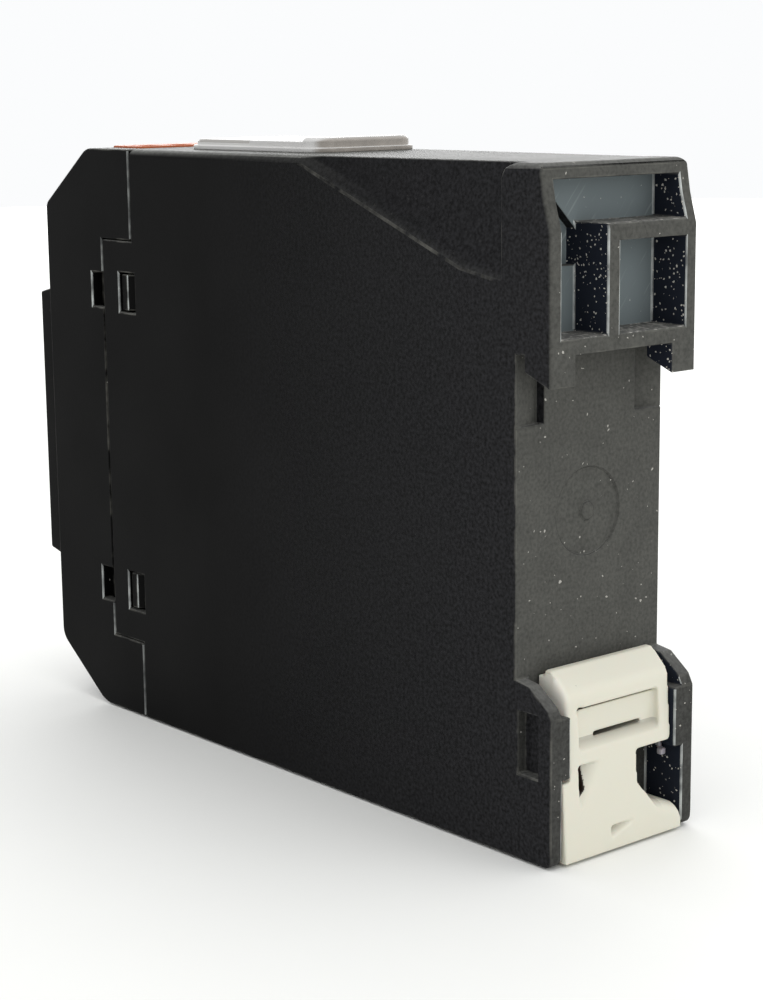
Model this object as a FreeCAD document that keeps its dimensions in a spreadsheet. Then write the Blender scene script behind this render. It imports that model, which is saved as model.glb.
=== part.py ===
"""Star-delta timer relay in a slim enclosure for a 35 mm rail, with its terminals and electronics.

X runs across the width, -Y is the front, +Z is up, and the origin is the middle of the rail seat.
"""
import FreeCAD
import Part
import Sketcher
import math
import os
from types import SimpleNamespace

SIZES = {
    # enclosure
    "width": 22.5,
    "height": 75.0,
    "front_depth": 91.0,
    "side_wall": 1.6,
    "flat_wall": 1.7,
    "rear_wall": 2.2,
    "front_wall": 1.8,
    "edge_round": 1.1,
    # seam between rear housing and front cover
    "cover_depth": 20.1,
    "tongue_length": 6.7,
    "tongue_upper_drop": 11.7,
    "tongue_lower_drop": 10.25,
    "seam_gap": 0.15,
    "lip_thickness": 1.0,
    "lip_reach": 1.6,
    "lip_gap": 0.2,
    "top_lip_half": 5.5,
    "side_lip_gap": 1.85,
    # bevels that carry the screw access holes
    "bevel_drop": 7.5,
    "bevel_length": 10.2,
    "bevel_round": 3.0,
    "bevel_foot_round": 1.4,
    "lower_bevel_round": 4.2,
    "lower_bevel_foot_round": 2.5,
    # snap latches of the cover and their windows in the housing
    "latch_upper_drop": 18.35,
    "latch_lower_drop": 16.95,
    "latch_window_height": 5.2,
    "latch_window_edge": 3.6,
    "latch_window_length": 3.6,
    "latch_slot_height": 4.6,
    "latch_slot_length": 2.6,
    "latch_root": 1.4,
    "latch_gap": 0.25,
    "latch_nose_sink": 0.3,
    # triangular scoop at the upper rear of each side
    "scoop_start": 38.4,
    "scoop_bend_depth": 8.7,
    "scoop_bend_drop": 11.3,
    "scoop_end_depth": 2.3,
    "scoop_end_drop": 12.4,
    "scoop_step": 1.0,
    "scoop_step_rise": 2.0,
    "scoop_sink": 2.4,
    "scoop_end_bevel": 1.6,
    # hook block above the rail
    "rail_height": 35.0,
    "rail_play": 0.4,
    "rail_slot": 1.2,
    "hook_rear": 5.0,
    "hook_frame": 1.75,
    "hook_bar": 1.75,
    "hook_top_wall": 1.7,
    "hook_knee_drop": 7.0,
    "hook_slope_drop": 3.7,
    "hook_slope_sink": 0.95,
    "hook_top_sink": 1.5,
    "hook_top_bevel": 0.5,
    "tab_drop": 3.3,
    "tab_slant": 1.5,
    "tab_width": 3.85,
    "rib_thickness": 1.85,
    "rib_upright": 1.75,
    "rib_drop": 7.35,
    "sink_depth": 1.2,
    "sink_drop": 11.0,
    "sink_corner": 5.4,
    # rail seat
    "notch_width": 4.2,
    "notch_depth": 1.2,
    "notch_drop": 7.8,
    "gate_across": 0.25,
    "gate_height": -0.45,
    "gate_radius": 4.9,
    "gate_depth": 0.3,
    "gate_nub_radius": 1.0,
    # clip channel below the rail
    "channel_wall": 1.75,
    "channel_rear": 5.45,
    "channel_shoulder": 2.05,
    "channel_shoulder_drop": 0.3,
    "channel_slope": 4.9,
    "channel_slope_drop": 2.45,
    "channel_lip_drop": 3.5,
    "channel_lip_height": 6.9,
    "channel_lip_reach": 1.25,
    "channel_lip_thickness": 2.35,
    "channel_foot_round": 1.0,
    "blind_front": 0.4,
    "blind_rear": 3.5,
    "blind_drop": 3.3,
    "blind_height": 7.0,
    "blind_depth": 1.2,
    # rail clip
    "clip_side_gap": 0.3,
    "clip_lip_gap": 0.25,
    "clip_runner_gap": 0.3,
    "clip_floor_gap": 0.25,
    "clip_nose_front": 1.15,
    "clip_nose_rear": 2.05,
    "clip_nose_catch": 0.85,
    "clip_nose_step": 0.75,
    "clip_brow_rear": 4.5,
    "clip_brow_drop": 2.25,
    "clip_brow_round": 2.0,
    "clip_foot_rear": 5.85,
    "clip_base_lift": 0.1,
    "clip_base_gap": 0.5,
    "clip_leg_length": 10.45,
    "clip_leg_inner": 6.65,
    "clip_leg_slot_width": 0.9,
    "clip_leg_slot_length": 2.95,
    "clip_leg_slot_slant": 0.45,
    "clip_dish_width": 3.6,
    "clip_dish_depth": 1.2,
    "clip_dish_length": 5.3,
    "clip_stem_right": 2.4,
    "clip_stem_length": 3.7,
    "clip_flare_right": 4.55,
    "clip_flare_height": 2.45,
    "clip_wing_drop": 1.4,
    "clip_wing_round": 1.5,
    "clip_break_inset": 0.5,
    "clip_break_height": 1.6,
    "clip_corner_round": 0.5,
    "clip_base_slot_left": 1.95,
    "clip_base_slot_length": 4.1,
    "clip_base_slot_rise": 2.75,
    "clip_base_slot_height": 1.4,
    "clip_base_slot_depth": 1.4,
    "clip_window_half": 6.3,
    "clip_window_rise": 6.2,
    "clip_window_lift": 1.55,
    "clip_shelf_height": 0.9,
    "clip_finger_rear": 3.9,
    "clip_finger_gap": 0.35,
    "clip_finger_notch": 0.5,
    "clip_finger_notch_left": 3.2,
    "clip_finger_notch_right": 4.3,
    "clip_finger_sink": 1.7,
    "clip_fade": 0.1,
    "clip_stub_thickness": 0.4,
    "clip_stub_length": 1.65,
    "clip_stub_lump": 0.8,
    "clip_stub_proud": 0.6,
    # plate on the top face
    "plate_left_margin": 0.75,
    "plate_right_margin": 5.25,
    "plate_setback": 5.0,
    "plate_length": 27.0,
    "plate_height": 1.3,
    "plate_foot": 0.55,
    "plate_inset": 0.5,
    "plate_round": 3.0,
    "plate_edge_bevel": 0.4,
    "plate_hump_length": 14.0,
    "plate_hump_rise": 0.45,
    # front panel
    "panel_proud": 3.0,
    "panel_side_inset": 0.5,
    "panel_drop": 19.6,
    "panel_shoulder": 0.7,
    "panel_rim_margin": 1.5,
    "panel_rim_wall": 1.0,
    "panel_rim_depth": 2.1,
    "panel_gap": 0.15,
    "panel_edge_round": 0.4,
    # terminals
    "pole_pitch": 5.08,
    "block_side_gap": 0.25,
    "block_gap": 0.2,
    "block_setback": 8.8,
    "block_length": 9.0,
    "block_drop": 9.9,
    "block_proud": 0.25,
    "block_sunk": 0.2,
    "block_floor": 0.6,
    "crown_setback": 2.5,
    "crown_half": 7.6,
    "pole_cavity_half": 2.2,
    "ledge_wall": 0.6,
    "pole_cavity_drop": 2.6,
    "entry_half": 1.75,
    "entry_length": 3.25,
    "entry_edge": 0.55,
    "screw_drop": 4.9,
    "screw_sink": 1.6,
    "screw_head_radius": 1.8,
    "screw_head_height": 1.4,
    "screw_shank_radius": 1.2,
    "screw_play": 0.2,
    "screw_slot": 0.6,
    "screw_slot_depth": 0.7,
    "screw_access_radius": 2.0,
    "cage_half": 2.05,
    "cage_room": 1.8,
    "cage_length": 4.6,
    "cage_height": 4.2,
    "cage_wall": 0.8,
    "cage_thread_play": 0.1,
    "tab_half": 1.0,
    "tab_play": 0.25,
    "tab_thickness": 0.6,
    "tab_top_gap": 0.3,
    # boards
    "board_thickness": 1.6,
    "terminal_board_gap": 0.35,
    "terminal_board_drop": 3.4,
    "display_board_setback": 8.6,
    "display_board_gap": 0.25,
    "display_board_inset": 1.7,
    "display_ledge_reach": 1.0,
    "display_ledge_inset": 2.2,
    "main_board_gap": 1.45,
    "main_board_rear_gap": 0.4,
    "main_board_edge_gap": 0.2,
    "guide_height": 1.0,
    "guide_thickness": 1.2,
    "guide_gap": 0.15,
    "guide_setback": 2.9,
    "scoop_wall": 1.5,
    # display parts
    "knob_height": -4.5,
    "knob_radius": 6.2,
    "knob_lift": 0.25,
    "knob_disc_proud": 0.3,
    "knob_grip_proud": 1.9,
    "knob_grip_half": 1.6,
    "knob_grip_length": 5.6,
    "knob_mark_half": 0.35,
    "knob_mark_start": 1.8,
    "knob_mark_depth": 0.4,
    "knob_play": 0.45,
    "knob_edge_round": 0.35,
    "shaft_radius": 1.9,
    "shaft_reach": 0.7,
    "shaft_seat": 0.9,
    "shaft_play": 0.2,
    "pot_half": 4.8,
    "pot_depth": 5.0,
    "bushing_radius": 3.0,
    "bushing_length": 1.4,
    "led_pitch": 5.08,
    "led_drop": 3.4,
    "led_radius": 1.45,
    "led_flange_radius": 1.8,
    "led_flange_height": 1.0,
    "led_standoff": 4.0,
    "led_proud": 0.55,
    "led_crown_bevel": 0.5,
    "led_play": 0.15,
    "led_lead": 0.5,
    "led_lead_half_pitch": 1.27,
    "header_across": 5.0,
    "header_pitch": 2.54,
    "header_pin": 0.64,
    "header_strip": 2.5,
    # main board parts
    "relay_length": 19.0,
    "relay_width": 15.4,
    "relay_top_gap": 1.05,
    "relay_setback": 4.9,
    "relay_upper": 3.6,
    "relay_gap": 1.4,
    "relay_edge": 0.8,
    "dropper_length": 18.0,
    "dropper_width": 7.5,
    "dropper_height": 13.5,
    "dropper_setback": 27.4,
    "dropper_gap": 1.05,
    "filter_radius": 5.0,
    "filter_height": 12.5,
    "filter_setback": 35.4,
    "filter_level": 12.0,
    "diode_radius": 1.35,
    "diode_length": 5.2,
    "diode_pitch": 4.2,
    "diode_setback": 27.4,
    "diode_rise": 12.9,
    "lead_size": 0.7,
    "lead_reach": 3.0,
    "varistor_radius": 4.5,
    "varistor_thickness": 4.0,
    "varistor_setback": 55.4,
    "varistor_level": -20.0,
    "chip_length": 19.3,
    "chip_width": 6.4,
    "chip_height": 3.3,
    "chip_setback": 38.4,
    "chip_gap": 0.8,
    "chip_leg": 0.5,
    "chip_leg_pitch": 2.54,
    "transistor_radius": 2.4,
    "transistor_height": 4.8,
    "transistor_flat": 1.3,
    "transistor_setback": 55.4,
    "transistor_gap": 3.9,
    "transistor_pitch": 8.0,
    "resistor_radius": 1.15,
    "resistor_length": 6.3,
    "resistor_pitch": 4.0,
    "resistor_setback": 9.4,
    "resistor_drop": 13.5,
}
POLES = (-1, 0, 1)
CHIP_LEGS = 7
HEADER_PINS = 5
DIODES = 2
RESISTORS = 2
LEDS = ("power_led", "star_led", "delta_led")
SHEET = "Sizes"
MARGIN = 1.0
TOLERANCE = 1e-4
PLANES = {"x": ("YZ_Plane", 1), "y": ("XZ_Plane", -1), "z": ("XY_Plane", 1)}

doc = FreeCAD.newDocument("StarDeltaTimer")
nodes = []


class Size:
    """A length that carries its value and the sheet formula that gives it."""

    def __init__(self, value, formula):
        self.value = value
        self.formula = formula

    def __add__(self, other):
        return Size(self.value + size(other).value, f"({self.formula} + {size(other).formula})")

    def __sub__(self, other):
        return Size(self.value - size(other).value, f"({self.formula} - {size(other).formula})")

    def __mul__(self, other):
        return Size(self.value * size(other).value, f"({self.formula} * {size(other).formula})")

    def __truediv__(self, other):
        return Size(self.value / size(other).value, f"({self.formula} / {size(other).formula})")

    def __radd__(self, other):
        return size(other) + self

    def __rsub__(self, other):
        return size(other) - self

    def __rmul__(self, other):
        return size(other) * self

    def __neg__(self):
        return Size(-self.value, f"(-1 * {self.formula})")


def size(number):
    """Take a plain number or a Size as a Size."""
    if isinstance(number, Size):
        return number
    return Size(float(number), f"({number})")


def root(number):
    """Square root of a Size."""
    return Size(math.sqrt(number.value), f"sqrt({number.formula})")


def span(first, second):
    """Two places in rising order."""
    pair = [size(first), size(second)]
    return sorted(pair, key=lambda place: place.value)


def make_sheet():
    """Put the driving dimensions in the sheet and return them as named Sizes."""
    sheet = doc.addObject("Spreadsheet::Sheet", SHEET)
    for row, (name, value) in enumerate(SIZES.items(), start=1):
        sheet.set(f"A{row}", name)
        sheet.set(f"B{row}", str(value))
        sheet.setAlias(f"B{row}", name)
    doc.recompute()
    return SimpleNamespace(**{name: Size(value, f"{SHEET}.{name}") for name, value in SIZES.items()})


def bind(item, prop, length):
    """Tie one property of an object to the sheet."""
    item.setExpression(prop, size(length).formula)


def keep(item, label):
    """Name an object as a finished piece."""
    item.Label = label
    nodes.append(item)
    return item


def new_body(name):
    """Start a body."""
    return doc.addObject("PartDesign::Body", name)


def add_polygon(sketch, points):
    """Draw a closed run of lines with every corner dimensioned from the sketch's origin."""
    first = sketch.GeometryCount
    count = len(points)
    corners = [FreeCAD.Vector(size(u).value, size(v).value, 0) for u, v in points]
    for index in range(count):
        sketch.addGeometry(Part.LineSegment(corners[index], corners[(index + 1) % count]), False)
    for index in range(count):
        following = first + (index + 1) % count
        sketch.addConstraint(Sketcher.Constraint("Coincident", first + index, 2, following, 1))
    for index, point in enumerate(points):
        for kind, place in zip(("DistanceX", "DistanceY"), point):
            distance = Sketcher.Constraint(kind, -1, 1, first + index, 1, size(place).value)
            number = sketch.addConstraint(distance)
            sketch.setExpression(f"Constraints[{number}]", size(place).formula)


def add_circle(sketch, centre, radius):
    """Draw a circle dimensioned from the sketch's origin."""
    middle = FreeCAD.Vector(size(centre[0]).value, size(centre[1]).value, 0)
    circle = Part.Circle(middle, FreeCAD.Vector(0, 0, 1), size(radius).value)
    item = sketch.addGeometry(circle, False)
    for kind, place in zip(("DistanceX", "DistanceY"), centre):
        number = sketch.addConstraint(Sketcher.Constraint(kind, -1, 1, item, 3, size(place).value))
        sketch.setExpression(f"Constraints[{number}]", size(place).formula)
    number = sketch.addConstraint(Sketcher.Constraint("Radius", item, size(radius).value))
    sketch.setExpression(f"Constraints[{number}]", size(radius).formula)


def make_sketch(body, name, axis, level, loops):
    """Sketch polygons, lists of corners, and circles, (centre, radius), across an axis at a level."""
    plane, sign = PLANES[axis]
    sketch = body.newObject("Sketcher::SketchObject", name)
    sketch.AttachmentSupport = [(origin_item(body, plane), "")]
    sketch.MapMode = "FlatFace"
    bind(sketch, "AttachmentOffset.Base.z", sign * size(level))
    for loop in loops:
        if isinstance(loop, tuple):
            add_circle(sketch, *loop)
        else:
            add_polygon(sketch, loop)
    return sketch


def origin_item(body, role):
    """Find one of a body's origin planes or axes."""
    return next(item for item in body.Origin.OriginFeatures if item.Role == role)


def extrude(kind, body, name, axis, loops, first, second):
    """Extrude loops along an axis between two places."""
    low, high = span(first, second)
    start = low if PLANES[axis][1] > 0 else high
    feature = body.newObject(kind, name)
    feature.Profile = make_sketch(body, f"{name}_sketch", axis, start, loops)
    bind(feature, "Length", high - low)
    return feature


def pad(body, name, axis, loops, first, second):
    """Add material."""
    return extrude("PartDesign::Pad", body, name, axis, loops, first, second)


def pocket(body, name, axis, loops, first, second):
    """Cut material, towards the same side as a pad would grow."""
    feature = extrude("PartDesign::Pocket", body, name, axis, loops, first, second)
    feature.Reversed = True
    return feature


def rectangle(left, right, low, high):
    """Corners of an upright rectangle."""
    return [(left, low), (right, low), (right, high), (left, high)]


def edges_at(shape, **places):
    """Names of the edges whose two ends both lie at the given coordinates, or between a pair of them."""
    found = []
    for number, edge in enumerate(shape.Edges, start=1):
        ends = [vertex.Point for vertex in edge.Vertexes]
        misses = []
        for axis, value in places.items():
            low, high = span(*value) if isinstance(value, tuple) else (size(value), size(value))
            misses += [low.value - getattr(end, axis) for end in ends]
            misses += [getattr(end, axis) - high.value for end in ends]
        if len(ends) == 2 and max(misses) < TOLERANCE:
            found.append(f"Edge{number}")
    return found


def round_edges(body, name, radius, *choices):
    """Fillet the edges of the body's last feature that lie at each choice of coordinates."""
    doc.recompute()
    base = body.Tip
    edges = [edge for places in choices for edge in edges_at(base.Shape, **places)]
    if not edges:
        raise RuntimeError(f"{name} found no edge to round")
    fillet = body.newObject("PartDesign::Fillet", name)
    fillet.Base = (base, edges)
    bind(fillet, "Radius", radius)
    return fillet


def bevel_edges(body, name, length, **places):
    """Chamfer the edges of the body's last feature that lie at the given coordinates."""
    doc.recompute()
    base = body.Tip
    chamfer = body.newObject("PartDesign::Chamfer", name)
    chamfer.Base = (base, edges_at(base.Shape, **places))
    bind(chamfer, "Size", length)
    return chamfer


def hollow(body, name, sketches):
    """Cut along straight lines from the first sketch through the others."""
    loft = body.newObject("PartDesign::SubtractiveLoft", name)
    loft.Profile = sketches[0]
    loft.Sections = sketches[1:]
    loft.Ruled = True
    return loft


def place(item, x, y, z):
    """Tie an object's position to the sheet."""
    for letter, value in zip("xyz", (x, y, z)):
        bind(item, f"Placement.Base.{letter}", value)
    return item


def block(name, x, y, z):
    """Box between pairs of places."""
    box = doc.addObject("Part::Box", name)
    corner = []
    for prop, pair in zip(("Length", "Width", "Height"), (x, y, z)):
        low, high = span(*pair)
        bind(box, prop, high - low)
        corner.append(low)
    return place(box, *corner)


def rod(name, axis, centre, radius, first, second):
    """Cylinder along X or Y, with its centre given in the other two coordinates."""
    low, high = span(first, second)
    cylinder = doc.addObject("Part::Cylinder", name)
    bind(cylinder, "Radius", radius)
    bind(cylinder, "Height", high - low)
    ways = {"x": FreeCAD.Vector(1, 0, 0), "y": FreeCAD.Vector(0, 1, 0)}
    turn = FreeCAD.Rotation(FreeCAD.Vector(0, 0, 1), ways[axis])
    cylinder.Placement = FreeCAD.Placement(FreeCAD.Vector(), turn)
    corner = list(centre)
    corner.insert("xyz".index(axis), low)
    return place(cylinder, *corner)


def fuse(name, shapes):
    """Join shapes into one solid."""
    joined = doc.addObject("Part::MultiFuse", name)
    joined.Shapes = shapes
    joined.Refine = True
    return joined


def cut(name, base, tool):
    """Take a tool out of a base."""
    result = doc.addObject("Part::Cut", name)
    result.Base = base
    result.Tool = tool
    return result


def gather(name, shapes):
    """Hold like pieces together as one group of separate solids."""
    group = doc.addObject("Part::Compound", name)
    group.Links = shapes
    return group


s = make_sheet()
half_width = s.width / 2
half_height = s.height / 2
inner_half = half_width - s.side_wall
inner_height = half_height - s.flat_wall
rail_half = s.rail_height / 2

# cover and panel
seam_depth = s.front_depth - s.cover_depth
tongue_depth = seam_depth + s.tongue_length
tongue_top = half_height - s.tongue_upper_drop
tongue_bottom = half_height - s.tongue_lower_drop
bevel_depth = s.front_depth - s.bevel_length
bevel_height = half_height - s.bevel_drop
bevel_slope = s.bevel_drop / s.bevel_length
bevel_inner_drop = s.side_wall * root(1 + bevel_slope * bevel_slope)
panel_front = s.front_depth + s.panel_proud
panel_half = half_height - s.panel_drop
rim_half = half_width - s.panel_side_inset - s.panel_rim_margin
rim_height = panel_half - s.panel_rim_margin
latch_upper = half_height - s.latch_upper_drop
latch_lower = half_height - s.latch_lower_drop
latch_window_front = tongue_depth - s.latch_window_edge
latch_window_rear = latch_window_front - s.latch_window_length
latch_arm_outer = inner_half - s.lip_gap
latch_arm_inner = latch_arm_outer - s.lip_thickness
side_lip_half = latch_upper - s.latch_slot_height / 2 - s.side_lip_gap
plate_left = half_width - s.plate_left_margin
plate_right = half_width - s.plate_right_margin
plate_front = seam_depth - s.plate_setback
plate_rear = plate_front - s.plate_length

# rear of the housing
scoop_bend_height = half_height - s.scoop_bend_drop
scoop_end_height = half_height - s.scoop_end_drop
bar_low = rail_half + s.rail_play / 2
hook_knee_height = half_height - s.hook_knee_drop
hook_slope_height = half_height - s.hook_slope_drop
rib_level = half_height - s.rib_drop
sink_low = half_height - s.sink_drop
tab_inner = half_width - s.tab_width
notch_inner = half_width - s.notch_width
notch_low = bar_low - s.notch_drop
channel_inner = half_width - s.channel_wall
channel_lip_top = rail_half + s.channel_lip_drop
channel_lip_bottom = channel_lip_top + s.channel_lip_height
blind_top = rail_half + s.blind_drop
blind_bottom = blind_top + s.blind_height

# rail clip, up from its base
clip_half = channel_inner - s.clip_side_gap
clip_plate_half = channel_inner - s.channel_lip_reach - s.clip_lip_gap
clip_runner_rear = s.channel_rear - s.channel_lip_thickness - s.clip_runner_gap
clip_base_bottom = half_height - s.clip_base_lift
clip_base_top = channel_lip_bottom + s.clip_base_gap
clip_base_slot_top = clip_base_bottom - s.clip_base_slot_rise
clip_plate_bottom = clip_base_bottom - s.clip_leg_length
clip_flare_top = clip_plate_bottom + s.clip_stem_length
clip_wing_top = clip_flare_top + s.clip_flare_height
clip_wing_end = clip_wing_top + s.clip_wing_drop
clip_window_top = clip_plate_bottom - s.clip_window_rise
clip_window_bottom = clip_plate_bottom - s.clip_window_lift
clip_shelf = clip_window_bottom - s.clip_shelf_height
clip_nose_top = rail_half - s.clip_nose_catch
clip_brow = clip_nose_top + s.clip_brow_drop
clip_tilt = (s.clip_foot_rear - s.clip_brow_rear) / (clip_base_bottom - clip_brow)

# terminals
block_front = s.front_depth - s.block_setback
block_rear = block_front - s.block_length
block_bottom = half_height - s.block_drop
crown_front = block_front - s.crown_setback
screw_height = half_height - s.screw_drop
screw_ledge = block_front - s.screw_sink
pole_cavity_front = screw_ledge - s.ledge_wall
pole_cavity_top = half_height - s.pole_cavity_drop
entry_rear = block_rear + s.entry_edge
entry_front = entry_rear + s.entry_length
cage_front = pole_cavity_front - s.cage_room
screw_tip = cage_front - s.cage_wall
tab_front = screw_tip - s.tab_play
tab_top = pole_cavity_top - s.tab_top_gap

# boards
terminal_board_front = block_rear - s.block_gap
terminal_board_rear = terminal_board_front - s.board_thickness
terminal_board_half = latch_arm_inner - s.terminal_board_gap
terminal_board_height = half_height - s.terminal_board_drop
display_board_rear = s.front_depth - s.display_board_setback
display_board_front = display_board_rear + s.board_thickness
display_board_height = panel_half - s.display_board_inset
display_ledge_height = display_board_height - s.display_ledge_inset
main_board_face = inner_half - s.main_board_gap - s.board_thickness
guide_front = terminal_board_rear - s.guide_setback

# knob and lamps
pot_front = display_board_front + s.pot_depth
bushing_front = pot_front + s.bushing_length
shaft_tail = bushing_front - s.shaft_seat
shaft_tip = panel_front + s.shaft_reach
knob_back = bushing_front + s.knob_lift
led_base = display_board_front + s.led_standoff
led_height = rim_height - s.panel_rim_wall - s.led_drop

# parts on the main board, behind its front edge and up from its lower edge
relay_front = terminal_board_rear - s.relay_setback
relay_height = inner_half + main_board_face - s.relay_top_gap
diode_front = terminal_board_rear - s.diode_setback
diode_level = -half_height + s.diode_rise
diode_top = diode_level + (DIODES - 1) * s.diode_pitch + s.diode_radius
dropper_front = terminal_board_rear - s.dropper_setback
dropper_low = diode_top + s.dropper_gap
chip_front = terminal_board_rear - s.chip_setback
chip_half = s.chip_width / 2 + s.chip_leg
chip_level = dropper_low + s.dropper_width + s.chip_gap + chip_half
transistor_depth = terminal_board_rear - s.transistor_setback
transistor_level = chip_level + chip_half + s.transistor_gap + s.transistor_radius
filter_depth = terminal_board_rear - s.filter_setback
varistor_depth = terminal_board_rear - s.varistor_setback
resistor_front = terminal_board_rear - s.resistor_setback
resistor_level = half_height - s.resistor_drop


def bevel_inner_height(depth):
    """Height of the inside of the bevel at a depth ahead of the rail seat."""
    return bevel_height + bevel_slope * (s.front_depth - depth) - bevel_inner_drop


def bevel_inner_depth(height):
    """Depth ahead of the rail seat of the inside of the bevel at a height."""
    return s.front_depth - (height + bevel_inner_drop - bevel_height) / bevel_slope


def latches():
    """Mid-heights of the snap latches, with a short name each."""
    return (("upper", latch_upper), ("lower", -latch_lower))


def scoop_sections(body, side):
    """Sections of the scoop's cutter: one outline that slides down along the scoop's lower edge."""
    slope = s.scoop_bend_drop / (s.scoop_start - s.scoop_bend_depth)
    stops = (
        (s.scoop_start + MARGIN, half_height + slope * MARGIN),
        (s.scoop_bend_depth, scoop_bend_height),
        (s.scoop_end_depth, scoop_end_height),
    )
    reach = s.scoop_end_drop + MARGIN
    sketches = []
    for number, (depth, foot) in enumerate(stops):
        outline = [
            (side * half_width, foot),
            (side * (half_width - s.scoop_step), foot + s.scoop_step_rise),
            (side * (half_width - s.scoop_sink), foot + reach),
            (side * (half_width + MARGIN), foot + reach),
            (side * (half_width + MARGIN), foot),
        ]
        name = f"scoop_{'left' if side > 0 else 'right'}_{number}"
        sketches.append(make_sketch(body, name, "y", -depth, [outline]))
    return sketches


def cavity_outlines():
    """Side outlines of the housing's hollow: the full-width part and the narrow part between the scoops."""
    front = -(tongue_depth + MARGIN)
    rear = -s.rear_wall
    bend = (-s.scoop_bend_depth, scoop_bend_height - s.scoop_wall)
    end = (rear, scoop_end_height - s.scoop_wall)
    start = (-(s.scoop_start + s.scoop_wall), inner_height)
    wide = [(front, -inner_height), (rear, -inner_height), end, bend, start, (front, inner_height)]
    narrow = [end, (rear, inner_height), start, bend]
    return wide, narrow


def rear_housing():
    """Tub that holds the electronics, with the hook block, the rail seat and the clip channel."""
    body = new_body("rear_housing")
    outline = [
        (-seam_depth, half_height),
        (0, half_height),
        (0, -half_height),
        (-seam_depth, -half_height),
        (-seam_depth, -tongue_bottom),
        (-tongue_depth, -tongue_bottom),
        (-tongue_depth, tongue_top),
        (-seam_depth, tongue_top),
    ]
    pad(body, "tub", "x", [outline], -half_width, half_width)
    hook = [
        (-MARGIN, bar_low),
        (s.hook_rear, bar_low),
        (s.hook_rear, hook_knee_height),
        (s.hook_rear - s.hook_slope_sink, hook_slope_height),
        (s.hook_rear - s.hook_top_sink, half_height - s.hook_top_bevel),
        (s.hook_rear - s.hook_top_sink - s.hook_top_bevel, half_height),
        (-MARGIN, half_height),
    ]
    pad(body, "hook_block", "x", [hook], -half_width, half_width)
    top_edges = [{"x": side * half_width, "z": half_height} for side in (-1, 1)]
    round_edges(body, "top_rounding", s.edge_round, *top_edges)
    for side, word in ((1, "left"), (-1, "right")):
        hollow(body, f"scoop_{word}", scoop_sections(body, side))
        corner = [
            (-s.scoop_end_depth - MARGIN, half_height + MARGIN),
            (-s.scoop_end_depth - MARGIN, half_height - s.scoop_end_bevel),
            (-s.scoop_end_depth, half_height - s.scoop_end_bevel),
            (-s.scoop_end_depth + s.scoop_end_bevel / 3, half_height - s.scoop_end_bevel / 3),
            (-s.scoop_end_depth + s.scoop_end_bevel, half_height),
            (-s.scoop_end_depth + s.scoop_end_bevel, half_height + MARGIN),
        ]
        floor = side * (half_width - s.scoop_sink)
        pocket(body, f"scoop_corner_{word}", "x", [corner], floor, side * (half_width + MARGIN))
    hollow_housing(body)
    hook_details(body)
    seat_details(body)
    clip_channel(body)
    return keep(body, "rear_housing")


def hollow_housing(body):
    """Hollow, latch windows and board guides."""
    wide, narrow = cavity_outlines()
    pocket(body, "hollow", "x", [wide], -inner_half, inner_half)
    narrow_half = half_width - s.scoop_sink - s.scoop_wall
    pocket(body, "hollow_between_scoops", "x", [narrow], -narrow_half, narrow_half)
    windows = []
    for _, level in latches():
        low = level - s.latch_window_height / 2
        high = level + s.latch_window_height / 2
        windows.append(rectangle(-latch_window_front, -latch_window_rear, low, high))
    pocket(body, "latch_windows", "x", windows, -half_width - MARGIN, half_width + MARGIN)
    groove_left = -main_board_face - s.board_thickness - s.guide_gap
    groove_right = -main_board_face + s.guide_gap
    ribs = []
    for sign in (-1, 1):
        low, high = span(sign * (inner_height - s.guide_height), sign * (inner_height + s.flat_wall / 2))
        ribs.append(rectangle(-inner_half - s.side_wall / 2, groove_left, low, high))
        ribs.append(rectangle(groove_right, groove_right + s.guide_thickness, low, high))
    pad(body, "board_guides", "y", ribs, -guide_front, -(s.scoop_start + s.scoop_wall))


def hook_details(body):
    """Moulded pockets in the hook block and the two tabs that go behind the rail."""
    frame_half = half_width - s.hook_frame
    low = bar_low + s.hook_bar
    high = half_height - s.hook_top_wall
    rib_left = s.rib_upright + s.rib_thickness / 2
    rib_right = s.rib_upright - s.rib_thickness / 2
    rib_top = rib_level + s.rib_thickness / 2
    rib_bottom = rib_level - s.rib_thickness / 2
    bent = [(-frame_half, high), (frame_half, high), (frame_half, low), (rib_left, low)]
    bent += [(rib_left, rib_top), (-frame_half, rib_top)]
    square = rectangle(-frame_half, rib_right, low, rib_bottom)
    pocket(body, "hook_pockets", "y", [bent, square], 0, s.hook_rear + MARGIN)
    corner = [(rib_left, sink_low), (frame_half, sink_low), (frame_half, high)]
    corner += [(rib_left + s.sink_corner, high), (rib_left, high - s.sink_corner)]
    pocket(body, "hook_sink", "y", [corner], -s.sink_depth, MARGIN)
    tab = [
        (s.rail_slot, bar_low + s.hook_bar / 2),
        (s.rail_slot, bar_low - s.tab_drop + s.tab_slant),
        (s.hook_rear, bar_low - s.tab_drop),
        (s.hook_rear, bar_low + s.hook_bar / 2),
    ]
    for side, word in ((1, "left"), (-1, "right")):
        pad(body, f"hook_tab_{word}", "x", [tab], side * tab_inner, side * half_width)


def seat_details(body):
    """Wedge notches behind the tabs and the round gate mark on the rail seat."""
    notches = []
    for side in (-1, 1):
        inner = side * notch_inner
        notches.append([(inner, -s.notch_depth), (inner, 0), (side * half_width, 0)])
    pocket(body, "seat_notches", "z", notches, notch_low, bar_low)
    centre = (s.gate_across, s.gate_height)
    gate = [(centre, s.gate_radius), (centre, s.gate_nub_radius)]
    pocket(body, "gate_mark", "y", gate, -s.gate_depth, 0)


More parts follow.
